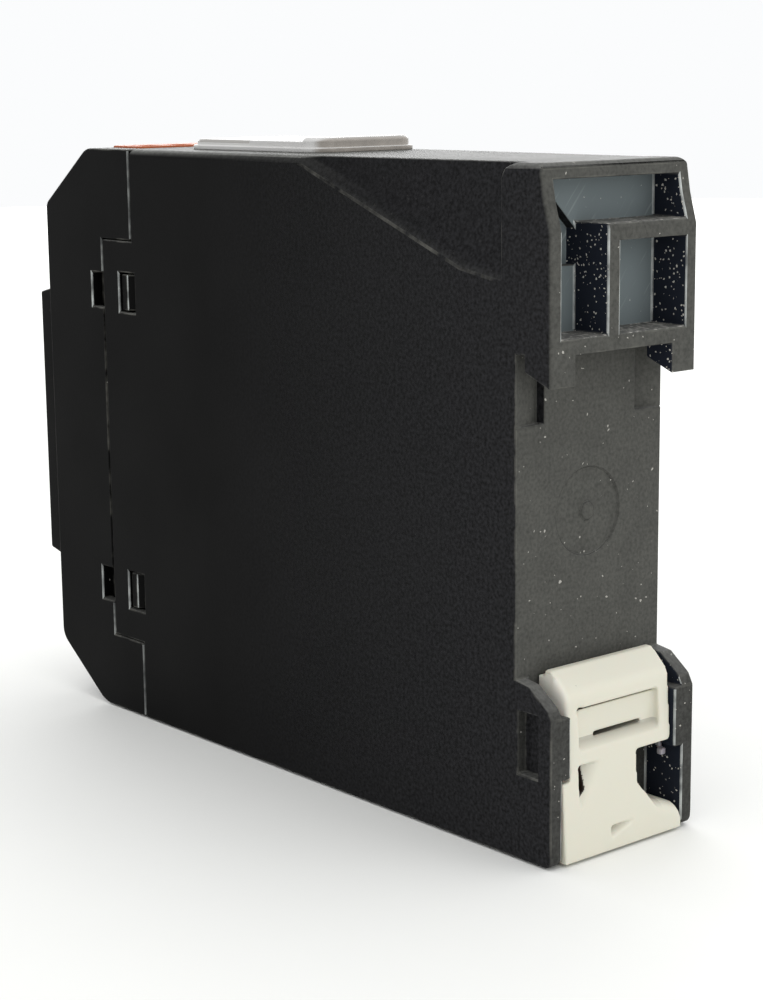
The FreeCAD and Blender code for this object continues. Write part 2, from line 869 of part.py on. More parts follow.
def clip_channel(body):
    """Two walls with lips that hold the clip, and the blind pockets in their outer sides."""
    wall_top = -rail_half
    wall = [
        (-MARGIN, wall_top),
        (0, wall_top),
        (s.channel_shoulder, wall_top - s.channel_shoulder_drop),
        (s.channel_slope, wall_top - s.channel_slope_drop),
        (s.channel_rear, -channel_lip_top),
        (s.channel_rear, -half_height),
        (-MARGIN, -half_height),
    ]
    lip_low = s.channel_rear - s.channel_lip_thickness
    lip = rectangle(lip_low, s.channel_rear, -channel_lip_bottom, -channel_lip_top)
    blind = rectangle(s.blind_front, s.blind_rear, -blind_bottom, -blind_top)
    for side, word in ((1, "left"), (-1, "right")):
        pad(body, f"channel_wall_{word}", "x", [wall], side * channel_inner, side * half_width)
        lip_inner = channel_inner - s.channel_lip_reach
        pad(body, f"channel_lip_{word}", "x", [lip], side * lip_inner, side * half_width)
        outer = side * (half_width + MARGIN)
        pocket(body, f"channel_blind_{word}", "x", [blind], side * (half_width - s.blind_depth), outer)
    foot = {"y": s.channel_rear, "z": -half_height}
    round_edges(body, "channel_foot_rounding", s.channel_foot_round, foot)


def front_cover():
    """Snap-on front with bevelled ends, terminal windows and the opening for the panel."""
    body = new_body("front_cover")
    seam = -(seam_depth + s.seam_gap)
    tongue = -(tongue_depth + s.seam_gap)
    upper_edge = tongue_top + s.seam_gap
    lower_edge = -(tongue_bottom + s.seam_gap)
    outline = [
        (seam, half_height),
        (-bevel_depth, half_height),
        (-s.front_depth, bevel_height),
        (-s.front_depth, -bevel_height),
        (-bevel_depth, -half_height),
        (seam, -half_height),
        (seam, lower_edge),
        (tongue, lower_edge),
        (tongue, upper_edge),
        (seam, upper_edge),
    ]
    pad(body, "cover_shell", "x", [outline], -half_width, half_width)
    for sign, word, corner, foot in (
        (1, "upper", s.bevel_round, s.bevel_foot_round),
        (-1, "lower", s.lower_bevel_round, s.lower_bevel_foot_round),
    ):
        round_edges(body, f"{word}_bevel_rounding", corner, {"y": -bevel_depth, "z": sign * half_height})
        foot_edge = {"y": -s.front_depth, "z": sign * bevel_height}
        round_edges(body, f"{word}_bevel_foot_rounding", foot, foot_edge)
    inner_front = s.front_depth - s.front_wall
    knee = bevel_inner_depth(inner_height)
    shoulder = bevel_inner_height(inner_front)
    hollow = [
        (seam + MARGIN, inner_height),
        (-knee, inner_height),
        (-inner_front, shoulder),
        (-inner_front, -shoulder),
        (-knee, -inner_height),
        (seam + MARGIN, -inner_height),
    ]
    pocket(body, "cover_hollow", "x", [hollow], -inner_half, inner_half)
    cover_openings(body, tongue)
    cover_lips(body, seam, tongue)
    cover_latches(body, tongue)
    return keep(body, "front_cover")


def cover_openings(body, tongue):
    """Panel opening, screw access holes, terminal windows and the slots above the latches."""
    front = -s.front_depth - MARGIN
    across = rim_half + s.panel_gap
    up = rim_height + s.panel_gap
    opening = rectangle(-across, across, -up, up)
    pocket(body, "panel_opening", "y", [opening], front, -s.front_depth + s.front_wall + MARGIN)
    holes = []
    for pole in POLES:
        for sign in (-1, 1):
            holes.append(((pole * s.pole_pitch, sign * screw_height), s.screw_access_radius))
    pocket(body, "screw_access", "y", holes, front, -block_front)
    side = s.crown_half + s.block_gap
    window = rectangle(-side, side, -crown_front - s.block_gap, -block_rear + s.block_gap)
    pocket(body, "terminal_windows", "z", [window], -half_height - MARGIN, half_height + MARGIN)
    slots = []
    for _, level in latches():
        low = level - s.latch_slot_height / 2
        high = level + s.latch_slot_height / 2
        slots.append(rectangle(tongue - s.latch_slot_length, tongue + MARGIN, low, high))
    pocket(body, "latch_slots", "x", slots, -half_width - MARGIN, half_width + MARGIN)


def cover_lips(body, seam, tongue):
    """Lips that pass inside the housing's front edge."""
    lip_top = inner_height - s.lip_gap
    for sign, word in ((1, "top"), (-1, "bottom")):
        lip = [
            (seam - s.lip_reach, sign * (lip_top - s.lip_thickness)),
            (seam + s.lip_reach, sign * (lip_top - s.lip_thickness)),
            (seam + s.lip_reach, sign * lip_top),
            (seam, sign * lip_top),
            (seam, sign * (inner_height + s.flat_wall / 2)),
            (seam - s.lip_reach, sign * (inner_height + s.flat_wall / 2)),
        ]
        pad(body, f"lip_{word}", "x", [lip], -s.top_lip_half, s.top_lip_half)
    for side, word in ((1, "left"), (-1, "right")):
        lip = [
            (side * latch_arm_inner, tongue - s.lip_reach),
            (side * latch_arm_inner, tongue + s.lip_reach),
            (side * latch_arm_outer, tongue + s.lip_reach),
            (side * latch_arm_outer, tongue),
            (side * (inner_half + s.side_wall / 2), tongue),
            (side * (inner_half + s.side_wall / 2), tongue - s.lip_reach),
        ]
        pad(body, f"lip_{word}", "z", [lip], -side_lip_half, side_lip_half)
        near, far = side * (inner_half - s.display_ledge_reach), side * (inner_half + s.side_wall / 2)
        ledge_rear = -display_board_rear + s.display_ledge_reach
        ledge = rectangle(near, far, -display_board_rear, ledge_rear)
        pad(body, f"board_ledge_{word}", "z", [ledge], -display_ledge_height, display_ledge_height)


def cover_latches(body, tongue):
    """Spring arms whose noses show in the housing's windows."""
    outer = latch_arm_outer
    inner = latch_arm_inner
    root_rear = tongue - s.latch_slot_length
    catch = -(latch_window_front - s.latch_gap)
    tip = -(latch_window_rear - s.latch_gap)
    nose = half_width - s.latch_nose_sink
    half = (s.latch_window_height - 2 * s.latch_gap) / 2
    for side, word in ((1, "left"), (-1, "right")):
        arm = [
            (side * inner, root_rear - s.latch_root),
            (side * (inner_half + s.side_wall / 2), root_rear - s.latch_root),
            (side * (inner_half + s.side_wall / 2), root_rear),
            (side * outer, root_rear),
            (side * outer, catch),
            (side * nose, catch),
            (side * nose, catch + s.latch_window_length / 3),
            (side * outer, tip - s.latch_gap),
            (side * outer, tip),
            (side * inner, tip),
        ]
        for level_word, level in latches():
            pad(body, f"latch_{level_word}_{word}", "z", [arm], level - half, level + half)


def front_panel():
    """Raised panel with holes for the knob and the lamps, and a rim that plugs into the cover."""
    body = new_body("front_panel")
    face_half = half_width - s.panel_side_inset
    foot = panel_half + s.panel_shoulder
    nose = [(-s.front_depth, -foot), (-s.front_depth, foot)]
    nose += [(-panel_front, panel_half), (-panel_front, -panel_half)]
    pad(body, "panel_plate", "x", [nose], -face_half, face_half)
    ends = [{"y": -panel_front, "z": sign * panel_half} for sign in (-1, 1)]
    round_edges(body, "panel_rounding", s.panel_edge_round, *ends)
    outer = rectangle(-rim_half, rim_half, -rim_height, rim_height)
    inner_side = rim_half - s.panel_rim_wall
    inner_end = rim_height - s.panel_rim_wall
    inner = rectangle(-inner_side, inner_side, -inner_end, inner_end)
    pad(body, "panel_rim", "y", [outer, inner], -s.front_depth, -s.front_depth + s.panel_rim_depth)
    holes = [((0, s.knob_height), s.knob_radius + s.knob_play)]
    holes += [((lamp * s.led_pitch, led_height), s.led_radius + s.led_play) for lamp in POLES]
    pocket(body, "panel_holes", "y", holes, -panel_front - MARGIN, -s.front_depth)
    return keep(body, "front_panel")


def top_cover_plate():
    """Low grey plate on the top face, higher at its rear, with softened upper edges and a thin foot."""
    body = new_body("top_cover_plate")
    left, right = -plate_left, plate_right
    front, rear = -plate_front, -plate_rear
    inset = s.plate_inset
    foot = rectangle(left, right, front, rear)
    upper = rectangle(left + inset, right - inset, front + inset, rear - inset)
    hump = rectangle(left + inset, right - inset, rear - s.plate_hump_length, rear - inset)
    top = half_height + s.plate_height
    for word, outline, level in (("low", upper, top), ("high", hump, top + s.plate_hump_rise)):
        pad(body, f"plate_{word}", "z", [outline], half_height, level)
        ends = [{"x": x, "y": y} for x, y in upper]
        round_edges(body, f"plate_{word}_corners", s.plate_round - inset, *ends)
        bevel_edges(body, f"plate_{word}_bevel", s.plate_edge_bevel, z=level)
    pad(body, "plate_foot", "z", [foot], half_height, half_height + s.plate_foot)
    round_edges(body, "plate_foot_corners", s.plate_round, *({"x": x, "y": y} for x, y in foot))
    return keep(body, "top_cover_plate")


def clip_rear(level):
    """Depth of the clip's slanted rear face at a height below the rail's middle."""
    return s.clip_foot_rear - clip_tilt * (clip_base_bottom - level)


def din_clip():
    """Sliding clip that catches the rail's lower edge; its right spring leg is broken off."""
    body = new_body("din_clip")
    step = -(clip_nose_top + s.clip_nose_step)
    nose = [
        (s.clip_floor_gap, step),
        (s.clip_nose_front, step),
        (s.clip_nose_front, -clip_nose_top),
        (s.clip_nose_rear, -clip_nose_top),
    ]
    foot = [(s.clip_foot_rear, -clip_base_bottom), (s.clip_floor_gap, -clip_base_bottom)]
    plate = nose + [(s.clip_brow_rear, -clip_brow)] + foot
    pad(body, "clip_plate", "x", [plate], -clip_plate_half, clip_plate_half)
    round_edges(body, "clip_brow_rounding", s.clip_brow_round, {"y": s.clip_brow_rear, "z": -clip_brow})
    runner = rectangle(s.clip_floor_gap, clip_runner_rear, -clip_plate_bottom, -channel_lip_top)
    pad(body, "clip_runners", "x", [runner], -clip_half, clip_half)
    base = [(s.clip_floor_gap, -clip_base_top), (clip_rear(clip_base_top), -clip_base_top)] + foot
    pad(body, "clip_base", "x", [base], -clip_half, clip_half)
    clip_break(body)
    clip_window(body)
    clip_hollows(body)
    clip_stub(body)
    return keep(body, "din_clip")


def clip_break(body):
    """Open right side where the spring leg is gone, and the rounded wing of the base that is left."""
    outside = -clip_half - MARGIN
    end = clip_wing_end + s.clip_break_height
    gone = [
        (outside, -clip_plate_bottom),
        (-s.clip_stem_right, -clip_plate_bottom),
        (-s.clip_stem_right, -clip_flare_top),
        (-s.clip_flare_right, -clip_wing_top),
        (-clip_half + s.clip_break_inset, -clip_wing_end),
        (-clip_half, -end),
        (outside, -end),
    ]
    pocket(body, "clip_break", "y", [gone], -MARGIN, s.clip_foot_rear + MARGIN)
    wing = {
        "x": (-clip_half, -s.clip_flare_right),
        "y": (clip_runner_rear, s.clip_foot_rear),
        "z": (-clip_wing_end, -clip_wing_top),
    }
    round_edges(body, "clip_wing_rounding", s.clip_wing_round, wing)
    corners = [{"x": -x, "z": -clip_plate_bottom} for x in (clip_plate_half, s.clip_stem_right)]
    round_edges(body, "clip_break_corners", s.clip_corner_round, *corners)


def clip_window(body):
    """Recess for a screwdriver with a slanted shelf below, and the gaps round its spring finger."""
    outside = s.clip_foot_rear + MARGIN
    recess = [
        (s.clip_finger_rear, -clip_window_top),
        (outside, -clip_window_top),
        (outside, -clip_window_bottom),
        (clip_rear(clip_window_bottom), -clip_window_bottom),
        (s.clip_finger_rear, -clip_shelf),
    ]
    half = s.clip_window_half
    pocket(body, "clip_recess", "x", [recess], -half, half)
    gap = rectangle(-half, half, -clip_window_top - s.clip_finger_gap, -clip_window_top)
    left, right = s.clip_finger_notch_left, -s.clip_finger_notch_right
    notch = rectangle(right, left, -clip_shelf, -clip_shelf + s.clip_finger_notch)
    root_depth = s.clip_finger_rear - s.clip_finger_sink
    pocket(body, "clip_finger_gaps", "y", [gap, notch], root_depth, s.clip_finger_rear + s.clip_finger_gap)


def clip_hollows(body):
    """Slot beside the left spring leg, and the two hollows that run out into the rear face."""
    inner = s.clip_leg_inner
    slot_end = clip_plate_bottom + s.clip_leg_slot_length
    slot = [
        (inner, -clip_plate_bottom),
        (inner, -slot_end - s.clip_leg_slot_slant),
        (inner - s.clip_leg_slot_width, -slot_end),
        (inner - s.clip_leg_slot_width, -clip_plate_bottom),
    ]
    pocket(body, "clip_leg_slot", "y", [slot], -MARGIN, s.clip_foot_rear + MARGIN)
    dish = []
    for number, (level, width, depth) in enumerate((
        (clip_plate_bottom, s.clip_dish_width, s.clip_dish_depth),
        (clip_plate_bottom + s.clip_dish_length, s.clip_fade, s.clip_fade),
    )):
        rear = clip_rear(level)
        outline = [(inner, rear - depth), (inner - 2 * width, rear + depth), (inner, rear + depth)]
        dish.append(make_sketch(body, f"clip_dish_{number}", "z", -level, [outline]))
    hollow(body, "clip_dish", dish)
    left = s.clip_base_slot_left
    top = clip_base_slot_top
    rear = clip_rear(top)
    slot = []
    for number, (place_x, height, depth) in enumerate((
        (left, s.clip_base_slot_height, s.clip_base_slot_depth),
        (left - s.clip_base_slot_length, s.clip_fade, s.clip_fade),
    )):
        outside = 2 * clip_rear(top + height) - rear + depth
        outline = [(rear - depth, -top), (outside, -top - 2 * height), (outside, -top)]
        slot.append(make_sketch(body, f"clip_base_slot_{number}", "x", place_x, [outline]))
    hollow(body, "clip_base_slot", slot)


def clip_stub(body):
    """What is left of the broken spring leg: a thin stub with a lump at its end."""
    end = -clip_plate_bottom - s.clip_stub_length
    rear = clip_runner_rear
    stub = rectangle(-clip_half, -clip_half + s.clip_stub_thickness, end, -clip_plate_bottom + MARGIN)
    pad(body, "clip_stub", "y", [stub], rear - s.clip_stub_lump, rear)
    lump = rectangle(-clip_half, -clip_half + s.clip_stub_lump, end - s.clip_stub_lump, end)
    rear = rear + s.clip_stub_proud
    pad(body, "clip_lump", "y", [lump], rear - s.clip_stub_lump, rear)


def terminal_block(sign, word):
    """Three-pole block: wire entries in its crown, screw bores in front, cage chambers open behind."""
    body = new_body(f"{word}_terminal_block")
    top = inner_height - s.block_gap
    knee = bevel_inner_height(block_front) - s.block_gap
    shoulder = bevel_inner_depth(top) - s.block_gap
    outline = [
        (-block_front, sign * block_bottom),
        (-block_rear, sign * block_bottom),
        (-block_rear, sign * top),
        (-shoulder, sign * top),
        (-block_front, sign * knee),
    ]
    side = inner_half - s.block_side_gap
    pad(body, f"{word}_block_core", "x", [outline], -side, side)
    proud = s.block_proud if sign > 0 else -s.block_sunk
    crown_top = half_height + proud
    crown = rectangle(-s.crown_half, s.crown_half, -crown_front, -block_rear)
    pad(body, f"{word}_block_crown", "z", [crown], sign * (top - MARGIN), sign * crown_top)
    floor = block_bottom + s.block_floor
    chambers = []
    entries = []
    bores = []
    shanks = []
    for pole in POLES:
        middle = pole * s.pole_pitch
        low, high = span(sign * floor, sign * pole_cavity_top)
        chambers.append(rectangle(middle - s.pole_cavity_half, middle + s.pole_cavity_half, low, high))
        left, right = middle - s.entry_half, middle + s.entry_half
        entries.append(rectangle(left, right, -entry_front, -entry_rear))
        bores.append(((middle, sign * screw_height), s.screw_head_radius + s.screw_play))
        shanks.append(((middle, sign * screw_height), s.screw_shank_radius + s.screw_play))
    pocket(body, f"{word}_chambers", "y", chambers, -pole_cavity_front, -block_rear + MARGIN)
    pocket(body, f"{word}_entries", "z", entries, sign * floor, sign * (crown_top + MARGIN))
    pocket(body, f"{word}_screw_bores", "y", bores, -block_front - MARGIN, -screw_ledge)
    pocket(body, f"{word}_shank_bores", "y", shanks, -block_front - MARGIN, -block_rear)
    return keep(body, f"{word}_terminal_block")


def terminal_screw(number, pole, sign):
    """Slotted clamp screw, turned about its own axis."""
    body = new_body(f"terminal_screw_{number}")
    head = s.screw_head_radius
    shank = s.screw_shank_radius
    outline = [
        (0, -screw_ledge - s.screw_head_height),
        (head, -screw_ledge - s.screw_head_height),
        (head, -screw_ledge),
        (shank, -screw_ledge),
        (shank, -screw_tip),
        (0, -screw_tip),
    ]
    turned = body.newObject("PartDesign::Revolution", f"screw_{number}_turned")
    turned.Profile = make_sketch(body, f"screw_{number}_sketch", "z", 0, [outline])
    turned.ReferenceAxis = (origin_item(body, "Y_Axis"), [""])
    slot = rectangle(-head - MARGIN, head + MARGIN, -s.screw_slot / 2, s.screw_slot / 2)
    face = -screw_ledge - s.screw_head_height
    pocket(body, f"screw_{number}_slot", "y", [slot], face - MARGIN, face + s.screw_slot_depth)
    place(body, pole * s.pole_pitch, 0, sign * screw_height)
    return keep(body, f"terminal_screw_{number}")


def clamp_cage(number, pole, sign):
    """Folded ring that the screw draws towards its head to clamp the wire."""
    body = new_body(f"clamp_cage_{number}")
    inner = s.cage_half - s.cage_wall
    rear = cage_front - s.cage_length
    outer_loop = rectangle(-s.cage_half, s.cage_half, -cage_front, -rear)
    inner_loop = rectangle(-inner, inner, -cage_front + s.cage_wall, -rear - s.cage_wall)
    pad(body, f"cage_{number}_ring", "z", [outer_loop, inner_loop], -s.cage_height / 2, s.cage_height / 2)
    thread = [((0, 0), s.screw_shank_radius + s.cage_thread_play)]
    pocket(body, f"cage_{number}_thread", "y", thread, -cage_front - MARGIN, -cage_front + s.cage_wall)
    place(body, pole * s.pole_pitch, 0, sign * screw_height)
    return keep(body, f"clamp_cage_{number}")


def contact_tabs(sign, word):
    """Three bent contact strips that pass through the cages and end on the terminal board."""
    strips = []
    floor = block_bottom + s.block_floor
    for pole in POLES:
        middle = pole * s.pole_pitch
        across = (middle - s.tab_half, middle + s.tab_half)
        name = f"{word}_tab_{pole + 2}"
        depth = (-tab_front, -tab_front + s.tab_thickness)
        upright = block(f"{name}_upright", across, depth, (sign * floor, sign * tab_top))
        depth = (-tab_front, -terminal_board_front)
        foot = block(f"{name}_foot", across, depth, (sign * floor, sign * (floor + s.tab_thickness)))
        strips.append(fuse(name, [upright, foot]))
    return keep(gather(f"contact_tabs_{word}", strips), f"contact_tabs_{word}")


def boards():
    """Terminal board across the depth, display board behind the panel, main board along one side."""
    height = (-terminal_board_height, terminal_board_height)
    across = (-terminal_board_half, terminal_board_half)
    depth = (-terminal_board_front, -terminal_board_rear)
    keep(block("terminal_board", across, depth, height), "terminal_board")
    side = inner_half - s.display_board_gap
    height = (-display_board_height, display_board_height)
    depth = (-display_board_front, -display_board_rear)
    keep(block("display_board", (-side, side), depth, height), "display_board")
    body = new_body("main_board")
    rear = -(s.rear_wall + s.main_board_rear_gap)
    edge = inner_height - s.main_board_edge_gap
    inset = s.scoop_wall + s.main_board_rear_gap
    outline = [
        (-terminal_board_rear, -edge),
        (rear, -edge),
        (rear, scoop_end_height - 2 * inset),
        (-s.scoop_bend_depth, scoop_bend_height - 2 * inset),
        (-(s.scoop_start + 2 * inset), edge),
        (-terminal_board_rear, edge),
    ]
    face = -main_board_face
    pad(body, "main_board_plate", "x", [outline], face - s.board_thickness, face)
    keep(body, "main_board")


def relay(label, low):
    """Sealed relay with bevelled can edges."""
    face = -main_board_face
    body = new_body(label)
    outline = rectangle(-relay_front, -relay_front + s.relay_length, low, low + s.relay_width)
    can = pad(body, f"{label}_can", "x", [outline], face, face + relay_height)
    doc.recompute()
    bevel = body.newObject("PartDesign::Chamfer", f"{label}_bevel")
    bevel.Base = (can, edges_at(can.Shape, x=face + relay_height))
    bind(bevel, "Size", s.relay_edge)
    return keep(body, label)


def capacitors():
    """Box film capacitor that drops the supply, and the smoothing can."""
    face = -main_board_face
    length = (-dropper_front, -dropper_front + s.dropper_length)
    width = (dropper_low, dropper_low + s.dropper_width)
    keep(block("dropper_capacitor", (face, face + s.dropper_height), length, width), "dropper_capacitor")
    centre = (-filter_depth, s.filter_level)
    can = rod("filter_capacitor", "x", centre, s.filter_radius, face, face + s.filter_height)
    keep(can, "filter_capacitor")


def axial_part(name, radius, length, front, level):
    """Lying body with two bent leads that reach the main board."""
    face = -main_board_face
    middle = face + radius + s.lead_size
    half = s.lead_size / 2
    height = (level - half, level + half)
    shapes = [rod(f"{name}_body", "y", (middle, level), radius, -front, -front + length)]
    for end, start, way in (("front", -front, -1), ("rear", -front + length, 1)):
        tip = start + way * s.lead_reach
        run = (start - way * s.lead_size, tip)
        shapes.append(block(f"{name}_{end}_run", (middle - half, middle + half), run, height))
        foot = (tip - way * s.lead_size, tip)
        shapes.append(block(f"{name}_{end}_foot", (face, middle + half), foot, height))
    return fuse(name, shapes)


def rectifier_diodes():
    """Row of diodes, one above the other."""
    parts = []
    for number in range(DIODES):
        level = diode_level + number * s.diode_pitch
        parts.append(axial_part(f"diode_{number + 1}", s.diode_radius, s.diode_length, diode_front, level))
    keep(gather("rectifier_diodes", parts), "rectifier_diodes")


def resistors():
    """Row of resistors, one above the other."""
    parts = []
    radius = s.resistor_radius
    for number in range(RESISTORS):
        level = resistor_level + number * s.resistor_pitch
        parts.append(axial_part(f"resistor_{number + 1}", radius, s.resistor_length, resistor_front, level))
    keep(gather("resistors", parts), "resistors")


def varistor():
    """Disc on two leads that stand on the main board."""
    face = -main_board_face
    centre = face + s.lead_reach + s.varistor_radius
    rear = -varistor_depth + s.varistor_thickness
    middle = (centre, s.varistor_level)
    shapes = [rod("varistor_disc", "y", middle, s.varistor_radius, -varistor_depth, rear)]
    half = s.lead_size / 2
    depth = (rear - s.varistor_thickness / 2 - half, rear - s.varistor_thickness / 2 + half)
    for sign, word in ((-1, "low"), (1, "high")):
        level = s.varistor_level + sign * s.varistor_radius / 2
        shapes.append(block(f"varistor_lead_{word}", (face, centre), depth, (level - half, level + half)))
    keep(fuse("varistor", shapes), "varistor")


def timer_chip():
    """Dual-in-line chip on two rows of legs."""
    face = -main_board_face
    length = (-chip_front, -chip_front + s.chip_length)
    width = (chip_level - s.chip_width / 2, chip_level + s.chip_width / 2)
    shapes = [block("chip_body", (face + s.chip_leg, face + s.chip_leg + s.chip_height), length, width)]
    first = -chip_front + (s.chip_length - (CHIP_LEGS - 1) * s.chip_leg_pitch) / 2
    half = s.chip_leg / 2
    for number in range(CHIP_LEGS):
        middle = first + number * s.chip_leg_pitch
        for sign, word in ((-1, "low"), (1, "high")):
            edge = chip_level + sign * s.chip_width / 2
            across = (face, face + s.chip_height / 2 + s.chip_leg)
            depth = (middle - half, middle + half)
            leg = (edge - sign * s.chip_leg, edge + sign * s.chip_leg)
            shapes.append(block(f"chip_leg_{word}_{number + 1}", across, depth, leg))
    keep(fuse("timer_ic", shapes), "timer_ic")


def driver_transistors():
    """Two half-round transistors that switch the relay coils."""
    face = -main_board_face
    pieces = []
    for number in range(2):
        name = f"transistor_{number + 1}"
        level = transistor_level + number * s.transistor_pitch
        low = face + s.lead_reach
        top = low + s.transistor_height
        middle = -transistor_depth
        case = rod(f"{name}_case", "x", (middle, level), s.transistor_radius, low, top)
        beyond = (middle + s.transistor_flat, middle + 2 * s.transistor_radius)
        height = (level - 2 * s.transistor_radius, level + 2 * s.transistor_radius)
        flat = block(f"{name}_flat", (face, top + MARGIN), beyond, height)
        shapes = [cut(f"{name}_half", case, flat)]
        half = s.lead_size / 2
        depth = (middle - half, middle + half)
        for leg in POLES:
            place_up = level + leg * s.transistor_radius / 2
            height = (place_up - half, place_up + half)
            shapes.append(block(f"{name}_leg_{leg + 2}", (face, top - s.lead_size), depth, height))
        pieces.append(fuse(name, shapes))
    keep(gather("driver_transistors", pieces), "driver_transistors")


def potentiometer():
    """Time-setting potentiometer: square case, threaded bushing, and its turning shaft."""
    level = s.knob_height
    across = (-s.pot_half, s.pot_half)
    height = (level - s.pot_half, level + s.pot_half)
    centre = (0, level)
    case = block("pot_case", across, (-pot_front, -display_board_front), height)
    bushing = rod("pot_bushing", "y", centre, s.bushing_radius, -bushing_front, -display_board_front)
    mouth = -bushing_front - MARGIN
    bore = rod("pot_bore", "y", centre, s.shaft_radius + s.shaft_play, mouth, -shaft_tail + s.shaft_play)
    keep(cut("potentiometer", fuse("pot_whole", [case, bushing]), bore), "potentiometer")
    keep(rod("pot_shaft", "y", centre, s.shaft_radius, -shaft_tip, -shaft_tail), "pot_shaft")


def time_knob():
    """Turned disc with a grip bar across it and a pointer groove in the bar."""
    body = new_body("time_knob")
    face = -panel_front - s.knob_disc_proud
    top = -panel_front - s.knob_grip_proud
    outline = [
        (0, face),
        (s.knob_radius, face),
        (s.knob_radius, -knob_back),
        (0, -knob_back),
    ]
    turned = body.newObject("PartDesign::Revolution", "knob_disc")
    turned.Profile = make_sketch(body, "knob_sketch", "z", 0, [outline])
    turned.ReferenceAxis = (origin_item(body, "Y_Axis"), [""])
    grip = rectangle(-s.knob_grip_half, s.knob_grip_half, -s.knob_grip_length, s.knob_grip_length)
    pad(body, "knob_grip", "y", [grip], top, face + s.knob_disc_proud)
    round_edges(body, "knob_rounding", s.knob_edge_round, {"y": top})
    mark = rectangle(-s.knob_mark_half, s.knob_mark_half, s.knob_mark_start, s.knob_grip_length + MARGIN)
    pocket(body, "knob_mark", "y", [mark], top - MARGIN, top + s.knob_mark_depth)
    bore = [((0, 0), s.shaft_radius)]
    pocket(body, "knob_bore", "y", bore, -shaft_tip, -knob_back + MARGIN)
    place(body, 0, 0, s.knob_height)
    return keep(body, "time_knob")


def lamps():
    """Three round lamps behind the panel and the leads that carry them."""
    leads = []
    tip = panel_front + s.led_proud
    outline = [
        (0, -tip),
        (s.led_radius - s.led_crown_bevel, -tip),
        (s.led_radius, -tip + s.led_crown_bevel),
        (s.led_radius, -led_base - s.led_flange_height),
        (s.led_flange_radius, -led_base - s.led_flange_height),
        (s.led_flange_radius, -led_base),
        (0, -led_base),
    ]
    for number, label in zip(POLES, LEDS):
        middle = number * s.led_pitch
        body = new_body(label)
        lens = body.newObject("PartDesign::Revolution", f"{label}_lens")
        lens.Profile = make_sketch(body, f"{label}_sketch", "z", 0, [outline])
        lens.ReferenceAxis = (origin_item(body, "Y_Axis"), [""])
        place(body, middle, 0, led_height)
        keep(body, label)
        for sign, word in ((-1, "low"), (1, "high")):
            across = middle + sign * s.led_lead_half_pitch
            half = s.led_lead / 2
            depth = (-led_base, -display_board_front)
            height = (led_height - half, led_height + half)
            leads.append(block(f"{label}_lead_{word}", (across - half, across + half), depth, height))
    keep(gather("led_leads", leads), "led_leads")


def pin_header():
    """Row of pins that joins the display board to the terminal board."""
    pins = []
    half = s.header_pin / 2
    for number in range(HEADER_PINS):
        level = (number - (HEADER_PINS - 1) / 2) * s.header_pitch
        across = (s.header_across - half, s.header_across + half)
        depth = (-display_board_rear, -terminal_board_front)
        pins.append(block(f"header_pin_{number + 1}", across, depth, (level - half, level + half)))
    reach = HEADER_PINS * s.header_pitch / 2
    width = (s.header_across - s.header_pitch / 2, s.header_across + s.header_pitch / 2)
    depth = (-display_board_rear, -display_board_rear + s.header_strip)
    strip = block("header_strip_body", width, depth, (-reach, reach))
    row = keep(gather("header_pins", pins), "header_pins")
    keep(cut("header_strip", strip, row), "header_strip")


def build():
    """Make every piece."""
    rear_housing()
    front_cover()
    front_panel()
    top_cover_plate()
    din_clip()
    number = 0
    for sign, word in ((1, "upper"), (-1, "lower")):
        terminal_block(sign, word)
        contact_tabs(sign, word)
        for pole in POLES:
            number += 1
            terminal_screw(number, pole, sign)
            clamp_cage(number, pole, sign)
    boards()
    relay("star_relay", s.relay_upper)
    relay("delta_relay", s.relay_upper - s.relay_gap - s.relay_width)
    capacitors()
    rectifier_diodes()
    resistors()
    varistor()
    timer_chip()
    driver_transistors()
    potentiometer()
    time_knob()
    lamps()
    pin_header()
    doc.recompute()


def check():
    """Stop if any object failed, any cut missed its body or any piece isn't sound."""
    for item in doc.Objects:
        if {"Invalid", "Error"} & set(item.State):
            raise RuntimeError(f"{item.Name} failed: {item.State}")
        if item.TypeId in ("PartDesign::Pocket", "PartDesign::SubtractiveLoft"):
            if item.BaseFeature.Shape.Volume - item.Shape.Volume < TOLERANCE:
                raise RuntimeError(f"{item.Name} cut nothing")
    for node in nodes:
        if node.Shape.isNull() or not node.Shape.isValid() or not node.Shape.Solids:
            raise RuntimeError(f"{node.Label} isn't a sound solid")


def write():
    """Write each piece to a file of its own."""
    os.makedirs("parts", exist_ok=True)
    for node in nodes:
        node.Shape.exportStep(f"parts/{node.Label}.step")


build()
check()
write()
print(len(nodes), "pieces")
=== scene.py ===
"""Looks of a slim star-delta timer relay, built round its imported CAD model."""

import math

import bmesh
import bpy
from bpy.props import FloatProperty, FloatVectorProperty, PointerProperty
from mathutils import Euler, Matrix, Vector


